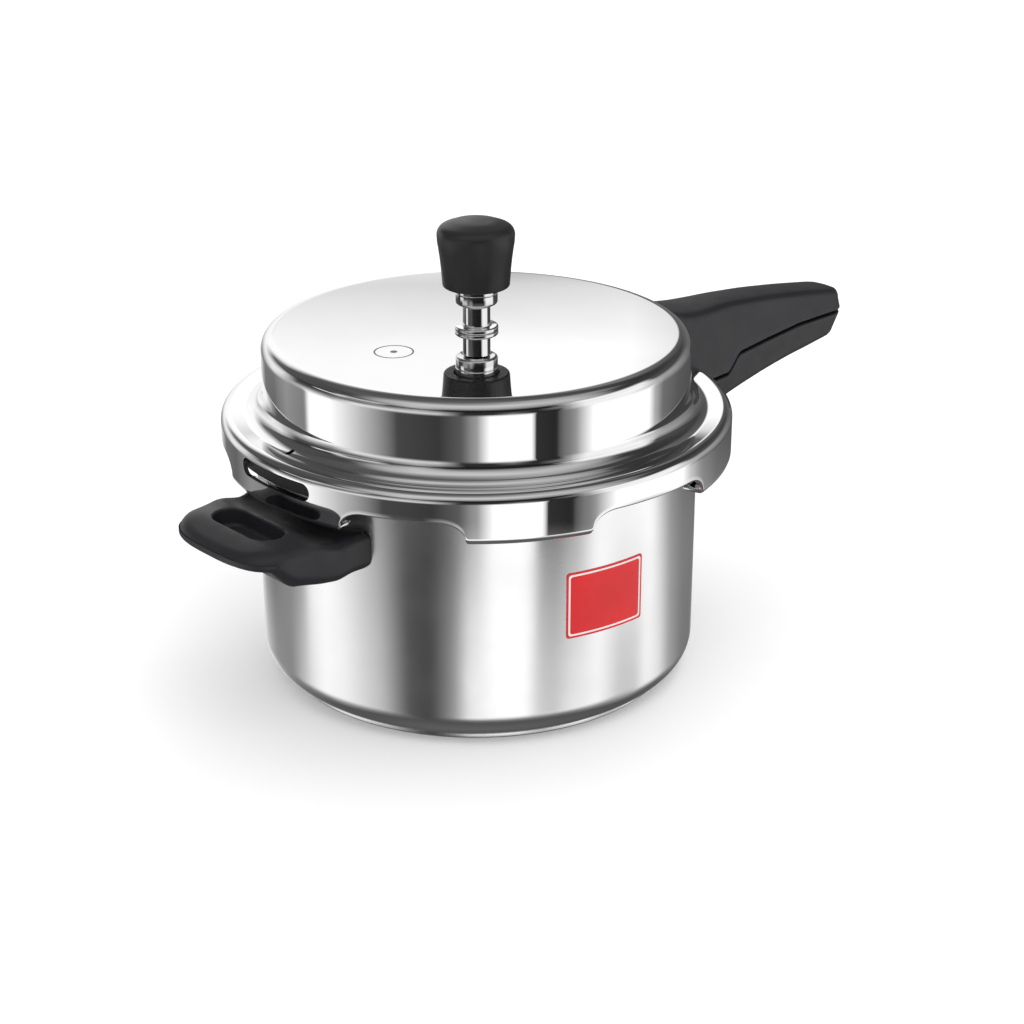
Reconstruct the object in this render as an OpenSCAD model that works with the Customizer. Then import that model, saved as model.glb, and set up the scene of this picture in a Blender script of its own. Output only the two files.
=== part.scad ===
// Three-litre outer-lid pressure cooker with a long handle, a helper handle and a weight valve.
// The origin is the middle of the base, +Z is up and +X runs along the long handle.

/* [Pot] */
// Outer radius of the pot wall
pot_r = 95; // [93:0.5:97]
// Height of the rim, where the gasket seals
rim_z = 107.5; // [106:0.5:110]
// Thickness of the pot's sheet
pot_t = 2; // [1.5:0.1:2.2]
// Outer radius of the rounding between wall and base
pot_corner_r = 12; // [10:0.5:14]
// Thickness of the bonded base disc
disc_t = 2.4; // [2:0.1:3]
// Half width of a locking lug, in degrees
lug_half = 10; // [8:0.5:10]

/* [Lid] */
// Height of the flat top of the lid above the rim
lid_h = 42.7; // [41:0.1:45]
// Thickness of the lid's sheet
lid_t = 1.8; // [1.5:0.1:2]
// How far the drum of the lid is inside the pot wall
drum_in = 3.4; // [3:0.1:4]
// How far the skirt of the lid is outside the pot wall
skirt_out = 14.7; // [14.5:0.1:15]
// Rise of the shoulder from the drum to the skirt, in degrees
shoulder_rise = 6; // [4:1:8]
// Half width of the two locking tabs in line with the handles, in degrees
wide_tab_half = 19; // [18:0.5:19]
// Half width of the other four locking tabs, in degrees
tab_half = 13.3; // [12:0.1:15]
// Half width of the gasket-release slot, in degrees
slot_half = 11.7; // [9:0.1:12]

/* [Handles] */
// Distance from the axis to the tip of the long handle
handle_reach = 231; // [225:1:236]
// Half width of the long handle
handle_half_w = 13; // [12:0.5:14]
// Half width of the long handle where it meets the lid and the pot
handle_root_half_w = 18; // [17:0.5:20]
// Gap between the upper and the lower half of the long handle
handle_gap = 1.4; // [1:0.1:1.6]
// Distance from the axis to the outer edge of the helper handle
helper_reach = 142; // [140:1:145]
// Half width of the helper handle
helper_half_w = 36; // [34:1:38]
// Height at which the bracket's tongue enters the helper handle
helper_z = 82; // [81:0.5:83]

/* [Weight] */
// Largest radius of the knob
knob_r = 16.5; // [15.5:0.5:18]
// Radius of the metal collar under the knob
collar_r = 9.1; // [8.5:0.1:10]
// Height of the knob's top above the lid
knob_top = 47.9; // [47.5:0.1:50]

/* [Safety plug] */
// Distance of the safety plug from the middle of the lid
plug_reach = 50; // [48:1:52]
// Direction of the safety plug, in degrees from the long handle
plug_angle = 49; // [40:1:60]

/* [Label] */
// Width of the label along the wall, in degrees
label_angle = 23; // [15:1:26]
// Height of the label
label_h = 29; // [20:1:32]

/* [Hidden] */
$fn = 96;
far = 400;

// Pot
pot_floor_z = disc_t + pot_t;
corner_z = disc_t + pot_corner_r;
corner_x = pot_r - pot_corner_r;
disc_r = corner_x + 3;
disc_edge = 0.6;
rim_bend_r = 2.5;
rim_t = 2.3;
ring_r = pot_r + 3.6;
lug_r = pot_r + 10;
lug_wall = 2.2;
lip_gap = 0.4;
label_t = 0.25;
label_direction = -97.5;
label_z = 61;

// Lid
lid_z = rim_z + lid_h;
drum_r = pot_r - drum_in;
drum_edge_r = 5.8;
foot_r = 7.5;
foot_z = lid_z - 24.8;
foot_x = drum_r + foot_r;
skirt_r = pot_r + skirt_out;
flange_edge_r = 4;
flange_x = skirt_r - flange_edge_r;
foot_end = 270 + shoulder_rise;
flange_start = 90 + shoulder_rise;
shoulder_x0 = foot_x + foot_r * cos(foot_end);
shoulder_z0 = foot_z + foot_r * sin(foot_end);
shoulder_run = flange_x + flange_edge_r * cos(flange_start) - shoulder_x0;
flange_z = shoulder_z0 + shoulder_run * tan(shoulder_rise) - flange_edge_r * sin(flange_start);
tab_z = rim_z - 10.2;
gap_z = tab_z + 9;
lip_t = 1.8;
lip_r = ring_r + 1;
lip_edge_r = 2.6;
lug_z = tab_z + lip_t + lip_gap;
arch_half_w = 11;
arch_h = 7.2;
slot_z = rim_z + 2.9;
slot_h = 7.6;
tab_angles = [for (i = [0:5]) i * 60];
drain_x = pot_r + 2.5;
drain_direction = 178;
drain_l = 4.2;
drain_w = 2.4;

// Gasket
gasket_gap = 0.5;
gasket_in_r = pot_r + 0.8;
groove_x = gasket_in_r + 5.5;

// Brackets and their fixings
bracket_t = 1.6;
bracket_half = 8;
tongue_half_w = 7;
tongue_t = 3;
// A tongue starts in the middle of its plate's thickness
tongue_in = bracket_t / 2;
plate_gap = 0.3;
rivet_r = 2;
rivet_head_r = 3.6;
rivet_head_t = 1.3;
rivet_angle = 5.6;
rivet_play = 0.1;
screw_r = 2.2;
screw_head_r = 4.2;
screw_head_t = 2.6;
screw_slot_w = 1;
screw_slot_depth = 1;
head_gap = 0.4;
seat_gap = 0.15;

// Upper half of the long handle, on the lid
seam_z = rim_z - 7.1;
seam_x = pot_r + 49.8;
handle_root_z = lid_z - 4.5;
lid_plate_z0 = lid_z - 19;
lid_plate_z1 = lid_z - 7;
lid_rivet_z = lid_z - 13;
lid_seat_z = seam_z + 3.8;
lid_screw_x = pot_r + 40;
lid_tongue = [
    [drum_r + tongue_in, lid_z - 19], [drum_r + 14, lid_z - 19], [drum_r + 27, lid_z - 33],
    [pot_r + 58, lid_z - 33], [pot_r + 58, lid_z - 33 + tongue_t], [drum_r + 28.5, lid_z - 33 + tongue_t],
    [drum_r + 15.5, lid_z - 19 + tongue_t], [drum_r + tongue_in, lid_z - 19 + tongue_t]];

// Lower half of the long handle, on the pot
pot_tongue_z = 84;
pot_plate_z0 = pot_tongue_z - 5;
pot_plate_z1 = tab_z - 0.8;
pot_rivet_z = pot_tongue_z + 4;
pot_screw_x = pot_r + 33;
pot_tongue = [
    [pot_r + tongue_in, pot_tongue_z], [pot_r + 20, pot_tongue_z + 3], [pot_r + 60, pot_tongue_z + 9],
    [pot_r + 60, pot_tongue_z + 9 + tongue_t], [pot_r + 20, pot_tongue_z + 3 + tongue_t],
    [pot_r + tongue_in, pot_tongue_z + tongue_t]];

// Helper handle
helper_tongue_t = 2.5;
helper_tongue_x = pot_r + 25;
helper_plate_z0 = helper_z - 2;
helper_plate_z1 = helper_z + 7;
helper_rivet_z = helper_z + 3;
helper_screw_x = pot_r + 13;
helper_seat_z = helper_z - 3;
recess_x = pot_r + 26.5;
recess_z = helper_z + 4;
recess_half_l = 19.5;
recess_half_w = 7.5;
helper_tongue = [
    [pot_r + tongue_in, helper_z], [helper_tongue_x, helper_z],
    [helper_tongue_x, helper_z + helper_tongue_t], [pot_r + tongue_in, helper_z + helper_tongue_t]];

// Vent tube
stem_r = 4.5;
stem_z0 = lid_z - 14;
tube_flange_r = 9.35;
tube_flange_t = 2.1;
column_r = 5.95;
column_top = lid_z + 11.2;
tip_r = 4.2;
tip_top = lid_z + 25;
tube_bore_r = 1.4;
nut_h = 5;
tube_nut_r = 8.6;
washer_t = 1.4;
tube_washer_r = 8.5;

// Safety plug
plug_stem_r = 5.8;
plug_stem_z0 = lid_z - 12;
plug_collar_r = 9.5;
plug_collar_t = 1.6;
plug_hex_r = 8.2;
plug_hex_h = 3;
plug_nut_r = 10;
core_r = 2.4;
core_z0 = plug_stem_z0 + 0.5;
core_z1 = lid_z + 4.4;

// Weight
spin_gap = 0.05;
rest_gap = 0.3;
knob_z = lid_z + 19.2;
knob_top_z = lid_z + knob_top;
body_top = lid_z + 38;
body_edge = 1;
needle_r = 1.9;
needle_top = tip_top + 6;
needle_point_r = tube_bore_r - 0.1;
needle_point_l = 4;
stud_r = 2;
stud_z0 = needle_top + 2;
stud_z1 = lid_z + 44;

// Points of an arc, from angle a0 to angle a1
function arc(x, y, r, a0, a1, n = 8) =
    [for (i = [0:n]) let(a = a0 + (a1 - a0) * i / n) [x + r * cos(a), y + r * sin(a)]];

// Outer face of the lid from the middle of its top to the end of its skirt, moved out by o
function lid_face(o, end_z) = concat(
    [[0, lid_z + o]],
    arc(drum_r - drum_edge_r, lid_z - drum_edge_r, drum_edge_r + o, 90, 0),
    arc(foot_x, foot_z, foot_r - o, 180, foot_end),
    arc(flange_x, flange_z, flange_edge_r + o, flange_start, 0),
    [[skirt_r + o, end_z]]);

// A list with its items in the opposite order
function reversed(list) = [for (i = [len(list) - 1:-1:0]) list[i]];

// A ring section between two radii and two heights, over an angle on both sides of +X
module ring_part(r0, r1, z0, z1, half) {
    rotate([0, 0, -half])
        rotate_extrude(angle = 2 * half)
            translate([r0, z0])
                square([r1 - r0, z1 - z0]);
}

// A bar along X, drawn as its outline seen from the side, centred on the XZ plane
module side_bar(half_w) {
    translate([0, half_w, 0])
        rotate([90, 0, 0])
            linear_extrude(2 * half_w)
                children();
}

// A cylinder along X from x0 to x1
module rod_x(r, x0, x1, y, z) {
    translate([x0, y, z])
        rotate([0, 90, 0])
            cylinder(r = r, h = x1 - x0);
}

// A cylinder along Z from z0 to z1
module rod_z(r, z0, z1, x = 0, y = 0) {
    translate([x, y, z0])
        cylinder(r = r, h = z1 - z0);
}

// A vertical hole or pin of pill shape, with its length along X
module pill_z(half_l, half_w, z0, z1) {
    translate([0, 0, z0])
        linear_extrude(z1 - z0) {
            square([2 * (half_l - half_w), 2 * half_w], center = true);
            for (s = [-1, 1])
                translate([s * (half_l - half_w), 0])
                    circle(r = half_w);
        }
}

// ---- Pot ----

module pot_section() {
    polygon(concat(
        [[0, disc_t]],
        arc(corner_x, corner_z, pot_corner_r, -90, 0),
        [[pot_r, rim_z - rim_t], [ring_r, rim_z - rim_t], [ring_r, rim_z]],
        arc(pot_r - pot_t + rim_bend_r, rim_z - rim_bend_r, rim_bend_r, 90, 180, 4),
        arc(corner_x, corner_z, pot_corner_r - pot_t, 0, -90),
        [[0, pot_floor_z]]));
}

// A lug reaches out from the rim and turns down, so that a tab of the lid locks under it
module lug() {
    ring_part(pot_r + 1, lug_r, rim_z - rim_t, rim_z, lug_half);
    ring_part(lug_r - lug_wall, lug_r, lug_z, rim_z, lug_half);
}

module pot_body() {
    color("gainsboro")
        difference() {
            union() {
                rotate_extrude()
                    pot_section();
                for (a = tab_angles)
                    rotate([0, 0, a])
                        lug();
            }
            for (side = [0, 180])
                rotate([0, 0, side])
                    rivet_holes(pot_r, side == 0 ? pot_rivet_z : helper_rivet_z);
        }
}

module base_disc() {
    color("silver")
        rotate_extrude()
            polygon([[0, 0], [disc_r - disc_edge, 0], [disc_r, disc_edge], [disc_r, disc_t], [0, disc_t]]);
}

module label() {
    color("crimson")
        rotate([0, 0, label_direction])
            ring_part(pot_r, pot_r + label_t, label_z - label_h / 2, label_z + label_h / 2, label_angle / 2);
}

// ---- Rivets and brackets ----

// Two holes for rivets, right through a wall and the plate of a bracket
module rivet_holes(wall_r, z) {
    reach = 6;
    for (s = [-1, 1])
        rotate([0, 0, s * rivet_angle])
            rod_x(rivet_r, wall_r - reach, wall_r + reach, 0, z);
}

// Two rivets through the wall and the plate of a bracket, with a head on each side
module rivets(wall_r, wall_t, z) {
    inner = wall_r - wall_t - rivet_play;
    outer = wall_r + bracket_t;
    color("silver")
        for (s = [-1, 1])
            rotate([0, 0, s * rivet_angle]) {
                rod_x(rivet_r, inner, outer, 0, z);
                rod_x(rivet_head_r, inner - rivet_head_t, inner, 0, z);
                rod_x(rivet_head_r, outer, outer + rivet_head_t, 0, z);
            }
}

// A bent plate on the wall with a tongue that runs into the handle
module bracket(wall_r, plate_z0, plate_z1, rivet_z, hole_x) {
    color("darkgray")
        difference() {
            union() {
                ring_part(wall_r, wall_r + bracket_t, plate_z0, plate_z1, bracket_half);
                side_bar(tongue_half_w)
                    children();
            }
            rivet_holes(wall_r, rivet_z);
            rod_z(screw_r, 0, far, hole_x);
        }
}

// Room in a handle for a bracket's plate and its rivet heads
module plate_room(wall_r, plate_z0, plate_z1) {
    ring_part(wall_r - 1, wall_r + bracket_t + rivet_head_t + plate_gap,
        plate_z0 - plate_gap, plate_z1 + plate_gap, bracket_half + plate_gap);
}

// A slotted screw with its head down, which bears at seat_z and ends at z1
module screw(x, seat_z, z1) {
    head_z = seat_z - screw_head_t;
    color("dimgray") {
        rod_z(screw_r, seat_z, z1, x);
        difference() {
            rod_z(screw_head_r, head_z, seat_z, x);
            translate([x, 0, head_z])
                cube([2 * screw_head_r + 1, screw_slot_w, 2 * screw_slot_depth], center = true);
        }
    }
}

// Room in a handle for such a screw, open below
module screw_room(x, seat_z, z1) {
    rod_z(screw_r + seat_gap, 0, z1, x);
    rod_z(screw_head_r + head_gap, 0, seat_z, x);
}

// Room in a handle for a tongue
module tongue_room(points) {
    side_bar(tongue_half_w + seat_gap)
        for (d = [-seat_gap, seat_gap])
            translate([0, d])
                polygon(points);
}

// ---- Long handle ----

// Seam between the two halves of the long handle, moved down by d
function seam(d) = [
    [seam_x + d / 2, seam_z - d], [seam_x + 2 + d / 2, seam_z + 1.6 - d],
    [seam_x + 8.2 + d / 2, seam_z + 8.8 - d], [pot_r + 76, seam_z + 11 - d],
    [pot_r + 100, seam_z + 13.6 - d], [handle_reach - d / 2, seam_z + 14.2 - d]];

module handle_plan() {
    tip_corner_r = 9;
    inner_x = pot_r - 40;
    root_x = pot_r + 22;
    taper_x = pot_r + 46;
    polygon(concat(
        [[inner_x, -handle_root_half_w], [root_x, -handle_root_half_w], [taper_x, -handle_half_w]],
        arc(handle_reach - tip_corner_r, tip_corner_r - handle_half_w, tip_corner_r, -90, 0),
        arc(handle_reach - tip_corner_r, handle_half_w - tip_corner_r, tip_corner_r, 0, 90),
        [[taper_x, handle_half_w], [root_x, handle_root_half_w], [inner_x, handle_root_half_w]]));
}

module handle_outline() {
    intersection() {
        side_bar(handle_root_half_w + 5)
            children();
        linear_extrude(far)
            handle_plan();
    }
}

module lid_handle() {
    inner_x = drum_r - 10;
    color([0.2, 0.2, 0.21])
        difference() {
            handle_outline()
                polygon(concat(
                    [[inner_x, seam_z]],
                    seam(0),
                    [[handle_reach, lid_z - 31],
                     [handle_reach - 3, lid_z - 27], [handle_reach - 9, lid_z - 25],
                     [pot_r + 105, lid_z - 21.4], [pot_r + 80, lid_z - 18.4], [pot_r + 55, lid_z - 16],
                     [pot_r + 30, lid_z - 15.4], [pot_r + 17, lid_z - 13.2], [pot_r + 5, lid_z - 6],
                     [pot_r, handle_root_z], [inner_x, handle_root_z]]));
            rotate_extrude()
                polygon(concat(lid_face(seat_gap, 0), [[0, 0]]));
            plate_room(drum_r, lid_plate_z0, lid_plate_z1);
            tongue_room(lid_tongue);
            screw_room(lid_screw_x, lid_seat_z, lid_z - 28);
        }
}

module lid_handle_bracket() {
    bracket(drum_r, lid_plate_z0, lid_plate_z1, lid_rivet_z, lid_screw_x)
        polygon(lid_tongue);
}

module lid_handle_rivets() {
    rivets(drum_r, lid_t, lid_rivet_z);
}

module lid_handle_screw() {
    screw(lid_screw_x, lid_seat_z, lid_z - 29);
}

module pot_handle() {
    inner_x = pot_r - 10;
    under_tab_z = tab_z - 0.6;
    step_x = skirt_r + 2.3;
    color([0.2, 0.2, 0.21])
        difference() {
            handle_outline()
                polygon(concat(
                    [[inner_x, under_tab_z], [step_x, under_tab_z], [step_x + 2, seam_z - handle_gap]],
                    seam(handle_gap),
                    [[handle_reach - 3.5, seam_z + 2.8], [handle_reach - 8, seam_z - 0.2],
                     [handle_reach - 17, seam_z - 1.2], [pot_r + 98, seam_z - 3.6],
                     [pot_r + 80, seam_z - 6.8], [pot_r + 62, seam_z - 11], [pot_r + 48, seam_z - 14.8],
                     [pot_r + 30, seam_z - 20.6], [pot_r + 10, seam_z - 24.8], [inner_x, seam_z - 27]]));
            rod_z(pot_r + seat_gap, 0, far);
            plate_room(pot_r, pot_plate_z0, pot_plate_z1);
            tongue_room(pot_tongue);
            screw_room(pot_screw_x, pot_tongue_z, pot_tongue_z + 9);
        }
}

module pot_handle_bracket() {
    bracket(pot_r, pot_plate_z0, pot_plate_z1, pot_rivet_z, pot_screw_x)
        polygon(pot_tongue);
}

module pot_handle_rivets() {
    rivets(pot_r, pot_t, pot_rivet_z);
}

module pot_handle_screw() {
    screw(pot_screw_x, pot_tongue_z, pot_tongue_z + 8.5);
}

// ---- Helper handle ----

module helper_plan() {
    tip_corner_r = 18;
    inner_x = pot_r - 30;
    polygon(concat(
        [[inner_x, -helper_half_w]],
        arc(helper_reach - tip_corner_r, tip_corner_r - helper_half_w, tip_corner_r, -90, 0),
        arc(helper_reach - tip_corner_r, helper_half_w - tip_corner_r, tip_corner_r, 0, 90),
        [[inner_x, helper_half_w]]));
}

module helper_handle() {
    inner_x = pot_r - 20;
    color([0.2, 0.2, 0.21])
        rotate([0, 0, 180])
            difference() {
                intersection() {
                    side_bar(helper_half_w + 5)
                        polygon([
                            [inner_x, helper_z - 6], [pot_r + 22, helper_z - 5.5], [pot_r + 31, helper_z - 2],
                            [pot_r + 36, helper_z + 2.5], [helper_reach - 1, helper_z + 4.5],
                            [helper_reach, helper_z + 7], [helper_reach - 1, helper_z + 9.5],
                            [helper_reach - 8, helper_z + 12], [pot_r + 21, helper_z + 12.5],
                            [pot_r + 14, helper_z + 9.5], [pot_r + 8, helper_z + 8.5],
                            [inner_x, helper_z + 9]]);
                    linear_extrude(far)
                        helper_plan();
                }
                rod_z(pot_r + seat_gap, 0, far);
                plate_room(pot_r, helper_plate_z0, helper_plate_z1);
                tongue_room(helper_tongue);
                translate([recess_x, 0, 0])
                    rotate([0, 0, 90])
                        pill_z(recess_half_l, recess_half_w, recess_z, far);
                screw_room(helper_screw_x, helper_seat_z, helper_z + 4.5);
            }
}

module helper_bracket() {
    rotate([0, 0, 180])
        bracket(pot_r, helper_plate_z0, helper_plate_z1, helper_rivet_z, helper_screw_x)
            polygon(helper_tongue);
}

module helper_rivets() {
    rotate([0, 0, 180])
        rivets(pot_r, pot_t, helper_rivet_z);
}

module helper_screw() {
    rotate([0, 0, 180])
        screw(helper_screw_x, helper_seat_z, helper_z + 4.3);
}

// ---- Gasket ----

// It fills the room between the rim and the lid, apart from a groove that faces the steam
module gasket() {
    in = gasket_gap + lid_t;
    foot_low_z = foot_z - foot_r - in;
    color([0.13, 0.13, 0.13])
        rotate_extrude()
            polygon(concat(
                [[gasket_in_r, rim_z], [skirt_r - in, rim_z]],
                arc(flange_x, flange_z, flange_edge_r - in, 0, flange_start),
                [[foot_x, foot_low_z], [gasket_in_r, foot_low_z],
                 [gasket_in_r, rim_z + 6.2], [groove_x, rim_z + 5],
                 [groove_x, rim_z + 2.8], [gasket_in_r, rim_z + 2]]));
}

// ---- Lid ----

// Space between two locking tabs: straight ends that turn into its top in quarter ellipses
module gap_cutter(half) {
    w = skirt_r * sin(half);
    low_z = tab_z - 5;
    translate([lip_r - 5, 0, 0])
        rotate([90, 0, 90])
            linear_extrude(skirt_r)
                polygon(concat(
                    [[w, low_z]],
                    [for (t = [0:10:90])
                        [w - arch_half_w * (1 - cos(t)), gap_z - arch_h * (1 - sin(t))]],
                    [for (t = [90:-10:0])
                        [arch_half_w * (1 - cos(t)) - w, gap_z - arch_h * (1 - sin(t))]],
                    [[-w, low_z]]));
}

module lid_section() {
    lip_x = skirt_r - lip_edge_r;
    lip_z = tab_z + lip_edge_r;
    polygon(concat(
        lid_face(0, lip_z),
        arc(lip_x, lip_z, lip_edge_r, 0, -90, 4),
        [[lip_r, tab_z], [lip_r, tab_z + lip_t]],
        arc(lip_x, lip_z, lip_edge_r - lip_t, -90, 0, 4),
        reversed(lid_face(-lid_t, lip_z))));
}

module lid() {
    // Middle and half width of each gap between two tabs
    near_gap = (tab_angles[1] - tab_half - wide_tab_half) / 2;
    mid_gap = (60 - 2 * tab_half) / 2;
    color("whitesmoke")
        difference() {
            rotate_extrude()
                lid_section();
            for (side = [0, 180])
                rotate([0, 0, side]) {
                    for (s = [-1, 1])
                        rotate([0, 0, s * (wide_tab_half + near_gap)])
                            gap_cutter(near_gap);
                    rotate([0, 0, 90])
                        gap_cutter(mid_gap);
                }
            rotate([0, 0, 180])
                translate([lip_r, 0, slot_z])
                    rotate([0, 90, 0])
                        rotate([0, 0, 90])
                            pill_z(skirt_r * sin(slot_half), slot_h / 2, 0, skirt_r - lip_r + 5);
            rotate([0, 0, drain_direction])
                translate([drain_x, 0, 0])
                    pill_z(drain_l / 2, drain_w / 2, rim_z + 8, lid_z - 10);
            rivet_holes(drum_r, lid_rivet_z);
            rod_z(stem_r, 0, far);
            at_plug()
                rod_z(plug_stem_r, 0, far);
        }
}

// ---- Vent tube ----

module vent_tube() {
    color("silver")
        difference() {
            union() {
                rod_z(stem_r, stem_z0, lid_z);
                rod_z(tube_flange_r, lid_z, lid_z + tube_flange_t);
                rod_z(column_r, lid_z + tube_flange_t, column_top);
                rod_z(tip_r, column_top, tip_top);
            }
            rod_z(tube_bore_r, 0, far);
        }
}

module vent_tube_washer() {
    color("silver")
        translate([0, 0, lid_z - lid_t - washer_t])
            difference() {
                cylinder(r = tube_washer_r, h = washer_t);
                rod_z(stem_r, -1, washer_t + 1);
            }
}

module vent_tube_nut() {
    color("silver")
        translate([0, 0, lid_z - lid_t - washer_t - nut_h])
            difference() {
                cylinder(r = tube_nut_r, h = nut_h, $fn = 6);
                rod_z(stem_r, -1, nut_h + 1);
            }
}

// ---- Safety plug ----

module at_plug() {
    rotate([0, 0, plug_angle])
        translate([plug_reach, 0, 0])
            children();
}

module safety_plug() {
    color("silver")
        at_plug()
            difference() {
                union() {
                    rod_z(plug_stem_r, plug_stem_z0, lid_z);
                    rod_z(plug_collar_r, lid_z, lid_z + plug_collar_t);
                    translate([0, 0, lid_z + plug_collar_t])
                        cylinder(r = plug_hex_r, h = plug_hex_h, $fn = 6);
                }
                rod_z(core_r, 0, far);
            }
}

module safety_plug_core() {
    color("gray")
        at_plug()
            rod_z(core_r, core_z0, core_z1);
}

module safety_plug_washer() {
    color("silver")
        at_plug()
            translate([0, 0, lid_z - lid_t - washer_t])
                difference() {
                    cylinder(r = plug_collar_r, h = washer_t);
                    rod_z(plug_stem_r, -1, washer_t + 1);
                }
}

module safety_plug_nut() {
    color("silver")
        at_plug()
            translate([0, 0, lid_z - lid_t - washer_t - nut_h])
                difference() {
                    cylinder(r = plug_nut_r, h = nut_h, $fn = 6);
                    rod_z(plug_stem_r, -1, nut_h + 1);
                }
}

// ---- Weight ----

// The needle's point closes the bore of the tube and its shank turns in the weight
module weight_needle() {
    shank_z = tip_top + rest_gap;
    color("silver") {
        rod_z(needle_point_r, tip_top - needle_point_l, shank_z);
        rod_z(needle_r, shank_z, needle_top);
    }
}

module weight_body() {
    mouth_z = column_top + rest_gap;
    color("lightgray")
        difference() {
            rotate_extrude()
                polygon([
                    [0, mouth_z], [collar_r - body_edge, mouth_z], [collar_r, mouth_z + body_edge],
                    [collar_r, body_top], [0, body_top]]);
            rod_z(tip_r + rest_gap, 0, tip_top + rest_gap);
            rod_z(needle_r + spin_gap, 0, needle_top + rest_gap);
            rod_z(stud_r, stud_z0, far);
        }
}

module weight_stud() {
    color("silver")
        rod_z(stud_r, stud_z0, stud_z1);
}

// The knob widens upwards to a soft edge and a low dome
module weight_knob() {
    knob_bottom_r = 0.86 * knob_r;
    edge_r = 5;
    dome_h = 3.2;
    color([0.2, 0.2, 0.21])
        difference() {
            rotate_extrude()
                polygon(concat(
                    [[0, knob_z], [knob_bottom_r - 1, knob_z], [knob_bottom_r, knob_z + 1],
                     [0.91 * knob_r, knob_z + 9], [0.965 * knob_r, knob_z + 16]],
                    arc(knob_r - edge_r, knob_top_z - dome_h - edge_r, edge_r, 0, 75),
                    [[0.35 * knob_r, knob_top_z - 0.4], [0, knob_top_z]]));
            rod_z(collar_r, 0, body_top);
            rod_z(stud_r, 0, stud_z1);
        }
}

pot_body();
base_disc();
label();
pot_handle();
pot_handle_bracket();
pot_handle_rivets();
pot_handle_screw();
helper_handle();
helper_bracket();
helper_rivets();
helper_screw();
gasket();
lid();
lid_handle();
lid_handle_bracket();
lid_handle_rivets();
lid_handle_screw();
vent_tube();
vent_tube_washer();
vent_tube_nut();
safety_plug();
safety_plug_core();
safety_plug_washer();
safety_plug_nut();
weight_needle();
weight_body();
weight_stud();
weight_knob();
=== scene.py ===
"""A three-litre outer-lid pressure cooker: its looks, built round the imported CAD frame.

Sizes are in millimetres from the middle of the base, with +X along the long handle and +Z up,
and mesh() turns them into metres. The driving sizes come from the CAD nodes' boxes.
"""
from math import acos, asin, atan2, cos, degrees, hypot, pi, radians, sin, sqrt, tan

import bmesh
import bpy
import numpy as np
from mathutils import Matrix, Vector


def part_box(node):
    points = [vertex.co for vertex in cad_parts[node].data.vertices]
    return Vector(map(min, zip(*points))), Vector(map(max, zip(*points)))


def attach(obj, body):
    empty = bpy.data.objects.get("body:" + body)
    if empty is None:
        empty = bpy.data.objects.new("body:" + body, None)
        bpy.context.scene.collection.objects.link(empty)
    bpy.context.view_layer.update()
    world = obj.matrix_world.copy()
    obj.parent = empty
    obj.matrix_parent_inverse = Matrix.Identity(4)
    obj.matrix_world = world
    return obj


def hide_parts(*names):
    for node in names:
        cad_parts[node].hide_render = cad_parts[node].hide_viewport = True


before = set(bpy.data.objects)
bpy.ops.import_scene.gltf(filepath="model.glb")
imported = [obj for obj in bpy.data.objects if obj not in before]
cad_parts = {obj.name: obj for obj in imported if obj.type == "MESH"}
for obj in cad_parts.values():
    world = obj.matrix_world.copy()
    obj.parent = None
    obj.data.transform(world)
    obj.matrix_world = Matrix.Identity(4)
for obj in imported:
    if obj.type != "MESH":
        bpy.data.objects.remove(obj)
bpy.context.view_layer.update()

MM = 0.001

# ---------------------------------------------------------------- sizes

def box_mm(node):
    """Lowest and highest corner of a CAD node, in millimetres."""
    low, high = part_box(node)
    return low / MM, high / MM


def round_mm(node):
    """Radius, lowest and highest z, and middle in plan of a round CAD node."""
    low, high = box_mm(node)
    return (high.x - low.x) / 2, low.z, high.z, ((low.x + high.x) / 2, (low.y + high.y) / 2)


LID_LOW, LID_HIGH = box_mm("lid")
DISC_HIGH = box_mm("base_disc")[1]
HANDLE_HIGH = box_mm("lid_handle")[1]
HELPER_LOW, HELPER_HIGH = box_mm("helper_handle")
LID_Z = LID_HIGH.z                 # flat top of the lid
SKIRT_R = LID_HIGH.x               # outside of the lid's skirt
POT_R = SKIRT_R - 14.7             # outside of the pot's wall
RIM_Z = box_mm("gasket")[0].z      # rim of the pot
DISC_T = DISC_HIGH.z               # thickness of the disc under the pot
DISC_R = DISC_HIGH.x
POT_T = 2.0                        # thickness of the pot's sheet
CORNER_R = 12.0                    # rounding between the pot's wall and its base
LID_T = 1.8                        # thickness of the lid's sheet
DRUM_R = POT_R - 3.4               # outside of the lid's drum
TAB_Z = LID_LOW.z                  # lower edge of the locking tabs
GAP_Z = TAB_Z + 9.0                # lower edge of the skirt between the tabs
SEAM_Z = box_mm("lid_handle")[0].z     # seam of the long handle, where it is lowest
SEAM_GAP = 1.4                     # gap between the halves of the long handle
HANDLE_TIP = HANDLE_HIGH.x
HELPER_TIP = -HELPER_LOW.x
HELPER_HALF_W = HELPER_HIGH.y
HELPER_Z = HELPER_LOW.z            # underside of the helper handle

# Camera: a long lens, the way a product picture is taken. Degrees, metres and lens millimetres
CAMERA_AZIMUTH = -41.0
CAMERA_DISTANCE = 0.8921
CAMERA_HEIGHT = 0.4392
CAMERA_PITCH = 22.709
CAMERA_YAW = 0.971
CAMERA_LENS = 77.32


def arc(x, z, r, a0, a1, n=8):
    """Points of an arc in the XZ plane, from angle a0 to angle a1."""
    angles = [radians(a0 + (a1 - a0) * i / n) for i in range(n + 1)]
    return [(x + r * cos(a), z + r * sin(a)) for a in angles]


def smoothstep(a, b, x):
    """0 below a, 1 above b and a smooth rise between them."""
    t = min(1.0, max(0.0, (x - a) / (b - a)))
    return t * t * (3 - 2 * t)


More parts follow.
